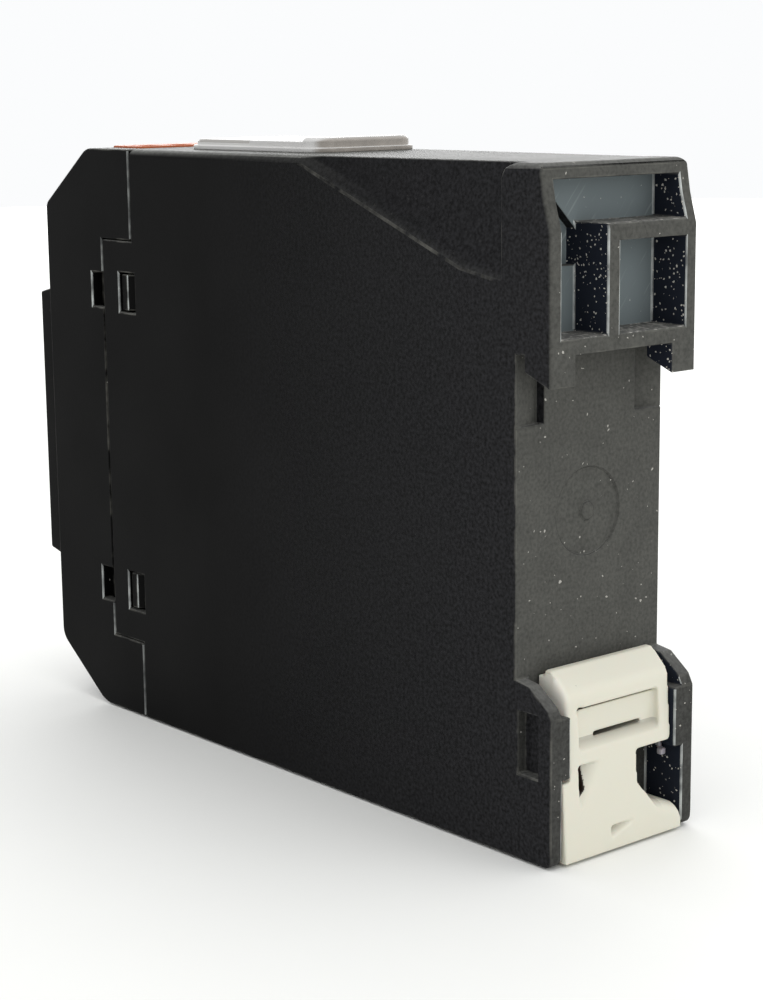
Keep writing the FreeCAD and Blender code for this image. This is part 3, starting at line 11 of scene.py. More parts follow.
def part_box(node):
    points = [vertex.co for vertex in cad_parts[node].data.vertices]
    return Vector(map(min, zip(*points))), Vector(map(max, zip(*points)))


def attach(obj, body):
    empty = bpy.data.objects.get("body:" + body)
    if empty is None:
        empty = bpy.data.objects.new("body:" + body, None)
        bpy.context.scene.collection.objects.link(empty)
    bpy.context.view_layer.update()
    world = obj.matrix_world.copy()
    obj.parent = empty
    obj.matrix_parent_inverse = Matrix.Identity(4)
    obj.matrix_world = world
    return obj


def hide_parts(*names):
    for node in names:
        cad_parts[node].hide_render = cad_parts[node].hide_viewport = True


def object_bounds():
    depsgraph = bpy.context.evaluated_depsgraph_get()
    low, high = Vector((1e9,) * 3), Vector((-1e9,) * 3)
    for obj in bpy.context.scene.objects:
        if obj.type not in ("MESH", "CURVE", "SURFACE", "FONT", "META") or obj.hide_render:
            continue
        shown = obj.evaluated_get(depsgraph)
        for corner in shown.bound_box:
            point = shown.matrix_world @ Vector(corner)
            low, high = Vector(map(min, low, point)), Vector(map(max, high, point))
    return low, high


bl_info = {
    "name": "Star-delta timer relay",
    "version": (1, 0, 0),
    "blender": (4, 5, 0),
    "location": "View3D > Sidebar > Relay",
    "description": "Dresses the relay's CAD pieces and sets up its studio",
    "category": "Object",
}

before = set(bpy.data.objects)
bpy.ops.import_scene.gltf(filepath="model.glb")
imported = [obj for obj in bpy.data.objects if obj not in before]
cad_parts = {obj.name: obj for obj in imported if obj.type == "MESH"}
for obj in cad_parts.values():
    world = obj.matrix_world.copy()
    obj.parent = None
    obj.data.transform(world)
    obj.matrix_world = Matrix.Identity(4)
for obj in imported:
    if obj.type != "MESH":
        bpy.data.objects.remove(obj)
cad_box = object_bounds()
MM = 0.001
FREE = math.inf

# corners closer than this are one
MERGE = 0.001 * MM
# the strips that cut the hook's roundings stand this far off its faces, so that they cross them
STRIP_OFF = 0.02 * MM
# sockets of a colour Mix node, whose names repeat for its other kinds
UNDER, OVER, MIXED = 6, 7, 2
# part of a face's normal along an axis: square on to it, leaning, or just turned towards it
SQUARE, LEANING, TURNED = 0.9, 0.3, 0.2

# rear outline of the hook block as (depth, height) in millimetres, carried past both its ends
HOOK_OUTLINE = [(5.0, 12.0), (5.0, 30.5), (4.05, 33.8), (3.6, 36.4), (3.24, 38.5)]

# regions of the rear housing in millimetres, as (least, most) by axis
POCKET_FLOORS = {"x": (-9.6, 9.6), "y": (-1.5, 1.5), "z": (19, FREE)}
POCKET_LEDGES = {"x": (-9.6, 9.6), "y": (0, FREE), "z": (19, FREE)}
INNER_WALLS = {"x": (-9.6, 9.6), "y": (0.2, FREE)}
GRITTY_WALLS = {"x": (-FREE, 9.6), "y": (0.2, FREE)}
HIDDEN_EDGES = {"x": (-11.1, 11.1), "y": (-FREE, 0)}
SHINY_CORNERS = (
    {"x": (-9.9, 9.9), "y": (-1.5, FREE), "z": (17.5, 30)},
    {"x": (-9.9, 5), "y": (-1.5, FREE), "z": (17.5, FREE)},
    {"x": (-9.9, 9.9), "y": (-1.5, FREE), "z": (-FREE, -20)},
)

# long sides near the seam in millimetres: how far out, how far front, and the slots' heights
SIDE_SKIN = 10.5
SEAM_REACH = -60
SLOT_HEIGHTS = (16.5, 23.3)
# largest area of a rounded edge's face there, in square metres
THIN_FACE = 2 * MM * MM

# regions of the rail clip in millimetres
CLIP_DISH = {"x": (0, 5.1), "y": (3.2, FREE), "z": (-34, -27.2)}
CLIP_SIDE = {"x": (5.5, FREE), "y": (2.6, FREE), "z": (-21.5, -17.3)}
LEG_SLOT = {"x": (5.6, 6.85), "y": (0.5, 5.0), "z": (-30.6, -26.8)}
FINGER_GAPS = {"x": (-6.4, 6.4), "y": (2, 3.75), "z": (-26, -20.6)}
FINGER_SHELF = {"x": (-6.3, 6.3), "y": (3.8, 5), "z": (-25.5, -24.3)}
CLIP_FOOT = {"x": (-6.4, 6.4), "z": (-FREE, -26)}
PAINTED_LIGHT_SIDE = {"x": (5.5, FREE), "z": (-24, -17)}
STUB_LUMP = {"x": (-FREE, -8.2), "y": (2, FREE), "z": (-30, -26.5)}

# floor of the knob's pointer groove in millimetres
POINTER_GROOVE = {"x": (-0.3, 0.3), "y": (-95.7, -95.3)}

# turn of the dial in degrees, and the steps that it is printed in
DIAL_SWEEP = 280
DIAL_STEPS = 10

# softboxes: place, aim, width and height in metres, power in watts
SOFTBOXES = {
    "window_softbox": ((-0.3, 0.85, 0.35), (0, 0, 0), 0.8, 0.55, 1.2),
    "far_softbox": ((-0.85, -1.0, 0.32), (0, 0, 0.03), 1.3, 0.4, 6.5),
    "overhead_softbox": ((-0.1, 0.0, 1.1), (0, 0, 0), 1.2, 1.2, 4.0),
}
# floor's radius and its gap under the case in metres
FLOOR_RADIUS, FLOOR_GAP = 1.25, 0.0002

# camera: turn about Z, rise and roll in degrees, place in metres, sensor and lens in millimetres
CAMERA_TURN, CAMERA_RISE, CAMERA_ROLL = 139.662, 11.162, -0.622
CAMERA_PLACE = (0.1660, 0.1601, 0.0464)
CAMERA_SENSOR, CAMERA_LENS = 36.0, 77.24
CAMERA_SHIFT = (0.0017, -0.0012)


def linear(code):
    """Turn an sRGB hex colour into the linear colour that shader sockets take."""
    parts = [int(code[place:place + 2], 16) / 255 for place in (1, 3, 5)]
    return tuple(p / 12.92 if p <= 0.04045 else ((p + 0.055) / 1.055) ** 2.4 for p in parts) + (1.0,)


def colour(label, text, code):
    """Colour property with its sRGB default."""
    return FloatVectorProperty(
        name=label, description=text, subtype="COLOR", size=4, min=0, max=1, default=linear(code)
    )


def length(label, text, value):
    """Length property with its default in millimetres."""
    return FloatProperty(
        name=label, description=text, subtype="DISTANCE", unit="LENGTH", min=0, default=value * MM
    )


class RelayColours(bpy.types.PropertyGroup):
    """Colours of the relay's mouldings and of the floor."""

    housing_black: colour("Housing black", "Housing, cover and front panel", "#0C0C0C")
    # dust on the long sides, with painted light that grows towards the rear
    side_film: colour("Side film", "Thin dust towards the rear of the long sides", "#2C2C2E")
    # dust with painted light on the faces that look to the rail
    rear_film: colour("Rear film", "Grey film on the faces that look to the rail", "#545450")
    # dust with a painted sheen on the faces that look up
    top_film: colour("Top film", "Settled dust on the faces that look up", "#6C6C69")
    # painted light on the floors of the hook's pockets, greenish
    pocket_film: colour("Pocket film", "Greenish film on the floors of the hook's pockets", "#727B7D")
    scored_film: colour("Scored film", "Tool marks that cross the pocket floors", "#A4ACAA")
    wall_shade: colour("Pocket wall", "Bluish walls of the pockets and of the clip's channel", "#22262F")
    # wear with a painted highlight on the rounded edges
    worn_edge: colour("Worn and highlit edge", "Rubbed edges of the black mouldings", "#6E6D67")
    # painted highlight on the rounded corners of the pockets, channel and slots
    bright_edge: colour("Bright edge", "Shiny corners of the pockets, channel and slots", "#C4C8C6")
    dust: colour("Dust", "Specks and crumbs that lie on the black mouldings", "#C9C6BE")
    plate_grey: colour("Plate grey", "Plate on the top face", "#CFCECC")
    # darker grey along the slope of the plate's upper side edge
    plate_border: colour("Plate border", "Dirt along the plate's upper side edge", "#77726B")
    grime_dark: colour("Dark grime", "Darker blots on the plate's rear end", "#5F564B")
    grime_light: colour("Light grime", "Lighter blots on the plate's rear end", "#9A9186")
    clip_white: colour("Clip white", "Rail clip", "#DAD7C7")
    clip_speck: colour("Clip speck", "Sparse specks on the rail clip", "#6F6A5C")
    # painted light on the clip's upper +X side
    clip_pale: colour("Clip pale", "Rubbed upper side of the rail clip", "#E9E6DA")
    # painted shade in the clip's hollows
    clip_hollow: colour("Clip hollow", "Dull hollows of the rail clip", "#8F8B80")
    # painted shade on the lump at the broken leg's stub
    clip_bruise: colour("Clip stub shade", "Bruised lump at the broken leg's stub", "#A7A3AB")
    # painted shade in the rail clip's slots and the finger's gaps
    clip_dirt: colour("Clip slot shade", "Dirt packed into the rail clip's slots", "#2B2018")
    terminal_orange: colour("Terminal orange", "Terminal blocks", "#B4561F")
    knob_grey: colour("Knob grey", "Time knob", "#B9B9B4")
    pointer_red: colour("Pointer red", "Paint in the knob's pointer groove", "#A3281E")
    print_white: colour("Print white", "Dial ticks and dial numbers", "#DCDCD6")
    floor_pale: colour("Floor", "Studio floor", "#EFEFEC")


class RelaySizes(bpy.types.PropertyGroup):
    """Sizes that the dressing adds to the CAD pieces."""

    moulded_edge: length("Moulded edge", "Rounding of the black mouldings' edges", 0.2)
    hook_edge: length("Hook edge", "Rounding of the hook block's two rear edges", 0.6)
    hook_corner: length("Hook corner", "Rounding of the hook block's upper corner", 1.7)
    clip_grain: length("Clip cell", "Cell size at which the rail clip's shape is softened", 0.16)
    plate_edge: length("Plate edge", "Rounding of the top plate's edges", 0.12)
    plate_end: length("Plate end", "Length of the top plate's raised rear end", 3.5)
    plate_step: length("Plate step", "Drop from the raised rear end to the rest of the plate", 0.47)
    block_edge: length("Terminal block edge", "Rounding of the terminal blocks' edges", 0.15)
    screw_edge: length("Screw edge", "Rounding of the clamp screws' edges", 0.08)
    knob_edge: length("Knob edge", "Rounding of the knob's edges", 0.1)
    lens_flange: length("Lamp flange", "Height of a lamp's flange", 0.9)
    lens_step: length("Lamp step", "Step in from a lamp's flange to its barrel", 0.35)
    lens_dome: length("Lamp dome", "Height of a lamp's dome", 0.9)
    lens_edge: length("Lamp edge", "Rounding of a lamp's edges", 0.06)
    tick_inner: length("Tick start", "Radius at which the dial's ticks start", 6.9)
    tick_outer: length("Tick end", "Radius at which the dial's ticks end", 7.8)
    tick_width: length("Tick width", "Width of a dial tick", 0.22)
    number_radius: length("Number radius", "Radius on which the dial's numbers stand", 8.95)
    number_height: length("Number height", "Height of the dial's numbers", 1.45)
    print_height: length("Print height", "Thickness of the printed marks", 0.03)


def add(tree, kind, inputs=None, **settings):
    """Add a node, set its properties and give its sockets a value or a link."""
    node = tree.nodes.new(kind)
    for name, value in settings.items():
        setattr(node, name, value)
    for name, value in (inputs or {}).items():
        socket = node.inputs[name]
        if isinstance(value, bpy.types.NodeSocket):
            tree.links.new(value, socket)
        else:
            socket.default_value = value
    return node


def per_mm(size):
    """Texture scale whose pattern repeats about every size in millimetres."""
    return 1 / (size * MM)


def material(name):
    """Start a node material and give its tree, shader and object coordinates."""
    made = bpy.data.materials.new(name)
    made.use_nodes = True
    tree = made.node_tree
    shader = tree.nodes["Principled BSDF"]
    place = add(tree, "ShaderNodeTexCoord").outputs["Object"]
    return made, tree, shader, place


def set_shader(shader, **values):
    """Set the shader's own sockets, named with underscores for spaces."""
    for name, value in values.items():
        shader.inputs[name.replace("_", " ")].default_value = value


def grained(tree, shader, place, base, shade, grain, depth, smoothest, roughest):
    """Tone drift, roughness drift and a fine moulded grain, as a spark-eroded tool leaves them."""
    # tone and roughness drift over some 14 mm
    drift = add(tree, "ShaderNodeTexNoise", {"Vector": place, "Scale": per_mm(14), "Detail": 3.0})
    fine = add(tree, "ShaderNodeTexNoise", {"Vector": place, "Scale": per_mm(grain), "Detail": 2.0})
    tone = add(
        tree, "ShaderNodeMix", {"Factor": drift.outputs["Fac"], UNDER: base, OVER: shade}, data_type="RGBA"
    )
    rough = add(
        tree, "ShaderNodeMapRange",
        {"Value": drift.outputs["Fac"], "To Min": smoothest, "To Max": roughest},
    )
    bump = add(
        tree, "ShaderNodeBump",
        {"Strength": 0.6, "Distance": depth * MM, "Height": fine.outputs["Fac"]},
    )
    tree.links.new(rough.outputs["Result"], shader.inputs["Roughness"])
    tree.links.new(bump.outputs["Normal"], shader.inputs["Normal"])
    return tone.outputs[MIXED]


def darker(shade, share):
    """Same colour at a share of its strength."""
    return tuple(part * share for part in shade[:3]) + (1.0,)


def specks(tree, place, spacing, reach, share):
    """Mask of small ragged grains, one to a cell at most, in part of the cells."""
    lump = 0.8 * spacing
    ragged = add(tree, "ShaderNodeTexNoise", {"Vector": place, "Scale": per_mm(lump), "Detail": 1.0})
    push = add(
        tree, "ShaderNodeVectorMath", {0: ragged.outputs["Color"], "Scale": lump * MM}, operation="SCALE"
    )
    moved = add(tree, "ShaderNodeVectorMath", {0: place, 1: push.outputs["Vector"]}, operation="ADD")
    cells = add(
        tree, "ShaderNodeTexVoronoi", {"Vector": moved.outputs["Vector"], "Scale": per_mm(spacing)}
    )
    pick = add(tree, "ShaderNodeSeparateColor", {"Color": cells.outputs["Color"]})
    size = add(
        tree, "ShaderNodeMapRange",
        {"Value": pick.outputs["Red"], "From Min": 1 - share, "To Min": 0.0, "To Max": reach},
    )
    inside = add(
        tree, "ShaderNodeMath",
        {0: cells.outputs["Distance"], 1: size.outputs["Result"]}, operation="LESS_THAN",
    )
    return inside.outputs["Value"]


def coated(tree, tone, name, finish, share=1.0):
    """Lay a finish over a tone on the faces that carry a mark, at a share of its strength."""
    marked = add(tree, "ShaderNodeAttribute", attribute_name=name)
    lie = add(tree, "ShaderNodeMath", {0: marked.outputs["Fac"], 1: share}, operation="MULTIPLY")
    coat = add(
        tree, "ShaderNodeMix", {"Factor": lie.outputs["Value"], UNDER: tone, OVER: finish}, data_type="RGBA"
    )
    return coat.outputs[MIXED]


def facing_of(tree):
    """Parts of the object's own normal along X, Y and Z."""
    normal = tree.nodes["Texture Coordinate"].outputs["Normal"]
    return add(tree, "ShaderNodeSeparateXYZ", {"Vector": normal}).outputs


def dust_film(tree, place, tone, colours):
    """Lay the grey film of dust and painted light over a tone: grainy along the sides, patchy on the rear,
    top and front.
    """
    along = add(tree, "ShaderNodeSeparateXYZ", {"Vector": place}).outputs
    facing = facing_of(tree)
    # the long sides are painted lighter towards the rear end, dust mixed with painted light, in grains 0.4
    # mm apart
    grains = add(tree, "ShaderNodeTexNoise", {"Vector": place, "Scale": per_mm(0.4), "Detail": 2.0})
    grainy = add(
        tree, "ShaderNodeMapRange",
        {"Value": grains.outputs["Fac"], "From Min": 0.3, "From Max": 0.7, "To Min": 0.2, "To Max": 1.0},
    )
    rearward = add(
        tree, "ShaderNodeMapRange",
        {"Value": along["Y"], "From Min": -55 * MM, "From Max": 5 * MM, "To Min": 0.03, "To Max": 1.0},
    )
    thin = add(
        tree, "ShaderNodeMath",
        {0: rearward.outputs["Result"], 1: grainy.outputs["Result"]}, operation="MULTIPLY",
    )
    tone = add(
        tree, "ShaderNodeMix",
        {"Factor": thin.outputs["Value"], UNDER: tone, OVER: tuple(colours.side_film)}, data_type="RGBA",
    ).outputs[MIXED]
    # the film lies in soft patches a few millimetres wide
    patches = add(
        tree, "ShaderNodeTexNoise",
        {"Vector": place, "Scale": per_mm(5), "Detail": 6.0, "Roughness": 0.7},
    )
    patchy = add(
        tree, "ShaderNodeMapRange",
        {"Value": patches.outputs["Fac"], "From Min": 0.3, "From Max": 0.7, "To Min": 0.74, "To Max": 1.02},
    )
    fine = add(
        tree, "ShaderNodeMapRange",
        {"Value": grains.outputs["Fac"], "From Min": 0.3, "From Max": 0.7, "To Min": 0.72, "To Max": 1.12},
    )
    # the walls of the clip's channel keep less of it
    lower = add(
        tree, "ShaderNodeMapRange",
        {"Value": along["Z"], "From Min": -21 * MM, "From Max": -17 * MM, "To Min": 0.55, "To Max": 1.0},
    )
    # the rear faces inside the front's slots keep none
    near_rail = add(
        tree, "ShaderNodeMapRange",
        {"Value": along["Y"], "From Min": -30 * MM, "From Max": -12 * MM, "To Min": 0.0, "To Max": 1.0},
    )
    layers = [patchy.outputs["Result"]]
    for share in (fine, lower, near_rail):
        lay = add(tree, "ShaderNodeMath", {0: layers[-1], 1: share.outputs["Result"]}, operation="MULTIPLY")
        layers.append(lay.outputs["Value"])
    overall, railward = layers[-2:]
    # painted light by facing, mixed with dust: strong on the faces that look to the rail, a painted sheen
    # on the top, a little on the front
    for side, least, most, thickest, film, spread in (
        ("Y", 0.3, 0.95, 1.0, colours.rear_film, railward),
        ("Z", 0.3, 0.95, 1.0, colours.top_film, overall),
        ("Y", -0.3, -0.95, 0.25, colours.rear_film, overall),
    ):
        share = add(
            tree, "ShaderNodeMapRange",
            {"Value": facing[side], "From Min": least, "From Max": most, "To Min": 0.0, "To Max": thickest},
            interpolation_type="SMOOTHSTEP",
        )
        cover = add(tree, "ShaderNodeMath", {0: share.outputs["Result"], 1: spread}, operation="MULTIPLY")
        tone = add(
            tree, "ShaderNodeMix",
            {"Factor": cover.outputs["Value"], UNDER: tone, OVER: tuple(film)}, data_type="RGBA",
        ).outputs[MIXED]
    return tone


def scored_floor(tree, place, colours):
    """Colour of the pocket floors, painted light with a greenish cast, which tool marks 0.5 mm apart cross
    on the slant.
    """
    slant = add(
        tree, "ShaderNodeMapping",
        {"Vector": place, "Rotation": (0, math.radians(-40), 0), "Scale": (1, 1, 14)},
        vector_type="TEXTURE",
    )
    marks = add(
        tree, "ShaderNodeTexNoise",
        {"Vector": slant.outputs["Vector"], "Scale": per_mm(0.5), "Detail": 2.0},
    )
    scored = add(
        tree, "ShaderNodeMapRange",
        {"Value": marks.outputs["Fac"], "From Min": 0.62, "From Max": 0.8, "To Min": 0.0, "To Max": 0.6},
    )
    return add(
        tree, "ShaderNodeMix",
        {
            "Factor": scored.outputs["Result"],
            UNDER: tuple(colours.pocket_film), OVER: tuple(colours.scored_film),
        },
        data_type="RGBA",
    ).outputs[MIXED]


def rubs_and_crumbs(tree, place, tone, colours):
    """Lay edge wear with a painted highlight, painted highlights on corners, crumbs and loose specks over a
    tone.
    """
    rub = add(tree, "ShaderNodeTexNoise", {"Vector": place, "Scale": per_mm(2.5), "Detail": 4.0})
    wear_and_highlight = add(
        tree, "ShaderNodeMapRange",
        {"Value": rub.outputs["Fac"], "From Min": 0.42, "From Max": 0.78, "To Min": 0.0, "To Max": 0.6},
    )
    shiny = add(
        tree, "ShaderNodeMapRange",
        {"Value": rub.outputs["Fac"], "From Min": 0.35, "From Max": 0.7, "To Min": 0.25, "To Max": 0.95},
    )
    # crumbs gather on the ledges in lumps half a millimetre wide
    lumps = add(tree, "ShaderNodeTexNoise", {"Vector": place, "Scale": per_mm(0.6), "Detail": 5.0})
    lumpy = add(
        tree, "ShaderNodeMapRange",
        {"Value": lumps.outputs["Fac"], "From Min": 0.5, "From Max": 0.68, "To Min": 0.0, "To Max": 0.75},
    )
    # grit and loose specks are drawn 0.1 to 0.2 mm wide, coarser than real dust, so that they show
    grit = specks(tree, place, spacing=0.36, reach=0.34, share=0.4)
    loose = specks(tree, place, spacing=0.8, reach=0.16, share=0.5)
    # edge wear with a painted highlight
    tone = coated(tree, tone, "worn", tuple(colours.worn_edge), wear_and_highlight.outputs["Result"])
    # painted highlight on corners and seams
    tone = coated(tree, tone, "bright", tuple(colours.bright_edge), shiny.outputs["Result"])
    tone = coated(tree, tone, "ledge", tuple(colours.dust), lumpy.outputs["Result"])
    tone = coated(tree, tone, "gritty", tuple(colours.dust), grit)
    # rearward faces keep more of the loose specks than the others
    caught = add(
        tree, "ShaderNodeMapRange",
        {"Value": facing_of(tree)["Y"], "From Min": 0.2, "From Max": 0.8, "To Min": 0.02, "To Max": 0.6},
    )
    faint = add(tree, "ShaderNodeMath", {0: loose, 1: caught.outputs["Result"]}, operation="MULTIPLY")
    return add(
        tree, "ShaderNodeMix",
        {"Factor": faint.outputs["Value"], UNDER: tone, OVER: tuple(colours.dust)}, data_type="RGBA",
    ).outputs[MIXED]


def moulded_black_abs(colours):
    """Black ABS from a spark-eroded tool: dull, near black, filmed with dust and painted light where it
    faces the rail.
    """
    made, tree, shader, place = material("moulded_black_abs")
    base = tuple(colours.housing_black)
    tone = grained(
        tree, shader, place, base, darker(base, 0.6), grain=0.3, depth=0.02, smoothest=0.42, roughest=0.58
    )
    tone = dust_film(tree, place, tone, colours)
    # painted light on the floors of the hook's pockets
    tone = coated(tree, tone, "pocket", scored_floor(tree, place, colours))
    tone = coated(tree, tone, "shaded", tuple(colours.wall_shade))
    tone = rubs_and_crumbs(tree, place, tone, colours)
    tree.links.new(tone, shader.inputs["Base Color"])
    set_shader(shader, IOR=1.5, Specular_IOR_Level=0.04)
    return made


def satin_grey_abs(colours):
    """Grey ABS plate: satin, a touch uneven in tone, brown with soiling on the end near the rail."""
    made, tree, shader, place = material("satin_grey_abs")
    base = tuple(colours.plate_grey)
    tone = grained(
        tree, shader, place, base, darker(base, 0.88), grain=0.3, depth=0.01, smoothest=0.4, roughest=0.55
    )
    tone = coated(tree, tone, "border", tuple(colours.plate_border))
    end = add(
        tree, "ShaderNodeMapRange",
        {"Value": facing_of(tree)["Y"], "From Min": 0.45, "From Max": 0.75, "To Min": 0.0, "To Max": 0.8},
    )
    # the soiling lies in blots a millimetre or two wide
    blots = add(tree, "ShaderNodeTexNoise", {"Vector": place, "Scale": per_mm(1.6), "Detail": 4.0})
    blotted = add(
        tree, "ShaderNodeMix",
        {
            "Factor": blots.outputs["Fac"],
            UNDER: tuple(colours.grime_dark), OVER: tuple(colours.grime_light),
        },
        data_type="RGBA",
    )
    grime = add(
        tree, "ShaderNodeMix",
        {"Factor": end.outputs["Result"], UNDER: tone, OVER: blotted.outputs[MIXED]}, data_type="RGBA",
    )
    tree.links.new(grime.outputs[MIXED], shader.inputs["Base Color"])
    set_shader(shader, IOR=1.5)
    return made


def natural_nylon(colours):
    """Unfilled nylon clip: off-white, slightly translucent, smooth, with faint yellowing."""
    made, tree, shader, place = material("natural_nylon")
    base = tuple(colours.clip_white)
    tone = grained(
        tree, shader, place, base, darker(base, 0.93), grain=0.5, depth=0.008, smoothest=0.35, roughest=0.5
    )
    dust = specks(tree, place, spacing=2.2, reach=0.06, share=0.15)
    faint = add(tree, "ShaderNodeMath", {0: dust, 1: 0.5}, operation="MULTIPLY")
    tone = add(
        tree, "ShaderNodeMix",
        {"Factor": faint.outputs["Value"], UNDER: tone, OVER: tuple(colours.clip_speck)}, data_type="RGBA",
    ).outputs[MIXED]
    # painted light on the upper side, painted shade in the hollows, on the stub's lump and in the slots
    for name, finish in (
        ("pale", colours.clip_pale),
        ("hollow", colours.clip_hollow),
        ("bruised", colours.clip_bruise),
        ("grime", colours.clip_dirt),
    ):
        tone = coated(tree, tone, name, tuple(finish))
    tree.links.new(tone, shader.inputs["Base Color"])
    set_shader(shader, IOR=1.53, Subsurface_Weight=0.08, Subsurface_Scale=0.0015)
    return made


def moulded(name, code, grain, smoothest, roughest, marked=None):
    """Plain moulded plastic: fine grain, slow drift of tone, and marked faces in a second colour."""
    made, tree, shader, place = material(name)
    base = linear(code) if isinstance(code, str) else tuple(code)
    tone = grained(tree, shader, place, base, darker(base, 0.82), grain, 0.008, smoothest, roughest)
    if marked:
        tone = coated(tree, tone, marked[0], tuple(marked[1]))
    tree.links.new(tone, shader.inputs["Base Color"])
    set_shader(shader, IOR=1.5)
    return made


def plated(name, code, smoothest, roughest, streak):
    """Plated metal: drawn or rolled streaks in its roughness, with a slow drift of tone."""
    made, tree, shader, place = material(name)
    base = linear(code)
    stretched = add(tree, "ShaderNodeMapping", {"Vector": place, "Scale": (1.0, 0.12, 1.0)})
    lines = add(
        tree, "ShaderNodeTexNoise",
        {"Vector": stretched.outputs["Vector"], "Scale": per_mm(streak), "Detail": 3.0},
    )
    tone = add(
        tree, "ShaderNodeMix",
        {"Factor": lines.outputs["Fac"], UNDER: base, OVER: darker(base, 0.7)}, data_type="RGBA",
    )
    rough = add(
        tree, "ShaderNodeMapRange",
        {"Value": lines.outputs["Fac"], "To Min": smoothest, "To Max": roughest},
    )
    tree.links.new(tone.outputs[MIXED], shader.inputs["Base Color"])
    tree.links.new(rough.outputs["Result"], shader.inputs["Roughness"])
    set_shader(shader, Metallic=1.0)
    return made


def tinted_lens(name, code):
    """Tinted epoxy lamp: glossy, lets light in, with faint flow marks."""
    made, tree, shader, place = material(name)
    base = linear(code)
    flow = add(tree, "ShaderNodeTexNoise", {"Vector": place, "Scale": per_mm(1.2), "Detail": 2.0})
    tone = add(
        tree, "ShaderNodeMix",
        {"Factor": flow.outputs["Fac"], UNDER: base, OVER: darker(base, 0.8)}, data_type="RGBA",
    )
    tree.links.new(tone.outputs[MIXED], shader.inputs["Base Color"])
    set_shader(
        shader, IOR=1.54, Roughness=0.12, Transmission_Weight=0.25,
        Subsurface_Weight=0.2, Subsurface_Scale=0.001,
    )
    return made


# finishes of the pieces inside the case: how each is made, its values and the pieces that have it
INNER_FINISHES = {
    # solder mask over glass laminate: even green gloss with a faint weave
    "solder_mask_board": (
        moulded, "#1F5B36", 0.6, 0.25, 0.35, ("terminal_board", "display_board", "main_board"),
    ),
    # relay cases are smooth blue polyester
    "relay_case_pbt": (moulded, "#274A86", 0.4, 0.2, 0.32, ("star_relay", "delta_relay")),
    # film capacitor box, yellow and glossy
    "film_box_epoxy": (moulded, "#B99A3A", 0.5, 0.22, 0.35, ("dropper_capacitor",)),
    # shrink sleeve over an aluminium can, dark and slick
    "can_sleeve_pvc": (moulded, "#23252C", 0.5, 0.18, 0.28, ("filter_capacitor",)),
    # transfer-moulded epoxy is charcoal and dull
    "moulded_epoxy": (
        moulded, "#2A2A2B", 0.15, 0.5, 0.65, ("rectifier_diodes", "timer_ic", "driver_transistors"),
    ),
    # dipped lacquer, beige and glossy
    "resistor_lacquer": (moulded, "#B59E79", 0.4, 0.2, 0.3, ("resistors",)),
    # dipped coat, deep blue and lumpy
    "varistor_coat": (moulded, "#2B4F8E", 1.2, 0.22, 0.34, ("varistor",)),
    # moulded polyester, blue grey
    "trimmer_case": (moulded, "#3B5476", 0.3, 0.35, 0.5, ("potentiometer",)),
    # nylon shaft, off-white
    "shaft_nylon": (moulded, "#CFCCBF", 0.4, 0.35, 0.5, ("pot_shaft",)),
    # hot-tinned copper wire, soft bright
    "tinned_wire": (plated, "#C9C8C4", 0.22, 0.4, 0.2, ("led_leads", "header_pins")),
    # glass-filled polyester strip, black
    "header_pbt": (moulded, "#232323", 0.2, 0.45, 0.6, ("header_strip",)),
    # tin over brass, dull silver with a warm cast
    "tinned_brass": (plated, "#C4BCA4", 0.25, 0.42, 0.3, ("contact_tabs_upper", "contact_tabs_lower")),
}


def finish_node(node, finish):
    """Give its finish to a CAD piece that is shown as it is."""
    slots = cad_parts[node].data.materials
    slots.clear()
    slots.append(finish)


def finish_piece(name, mesh, body, node, finish):
    """Make the object of a mesh, smooth it, and tie it to its body and CAD piece."""
    piece = bpy.data.objects.new(name, mesh)
    bpy.context.scene.collection.objects.link(piece)
    mesh.materials.clear()
    mesh.materials.append(finish)
    mesh.polygons.foreach_set("use_smooth", [True] * len(mesh.polygons))
    weighted = piece.modifiers.new("even_normals", "WEIGHTED_NORMAL")
    weighted.mode = "FACE_AREA"
    weighted.weight = 100
    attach(piece, body)
    if node:
        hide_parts(node)


def merged_copy(node):
    """Copy of a CAD piece with its loose triangles joined at their corners."""
    shape = bmesh.new()
    shape.from_mesh(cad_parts[node].data)
    bmesh.ops.remove_doubles(shape, verts=shape.verts, dist=MERGE)
    return shape


def join_flat(shape):
    """Join the triangles that lie in one plane into whole faces."""
    bmesh.ops.dissolve_limit(
        shape, angle_limit=math.radians(0.3), use_dissolve_boundaries=False,
        verts=shape.verts, edges=shape.edges,
    )


def sharp_edges(shape, least=24.0):
    """Edges at which two faces meet at more than an angle in degrees."""
    limit = math.radians(least)
    return [edge for edge in shape.edges if edge.is_manifold and edge.calc_face_angle() > limit]


def applied(shape, kind, other=None, **settings):
    """Shape after one modifier, which may take another closed shape."""
    holders = [bpy.data.objects.new("bench", to_mesh(part, "bench")) for part in (shape, other) if part]
    for holder in holders:
        bpy.context.scene.collection.objects.link(holder)
    step = holders[0].modifiers.new("step", kind)
    for name, value in settings.items():
        setattr(step, name, value)
    if other:
        step.object = holders[1]
    result = bmesh.new()
    result.from_object(holders[0], bpy.context.evaluated_depsgraph_get())
    for holder in holders:
        bpy.data.objects.remove(holder)
    return result


def verts_in(found):
    """Vertices among what an operator gives back."""
    return [part for part in found if isinstance(part, bmesh.types.BMVert)]


def faces_in(found):
    """Faces among what an operator gives back."""
    return [part for part in found if isinstance(part, bmesh.types.BMFace)]


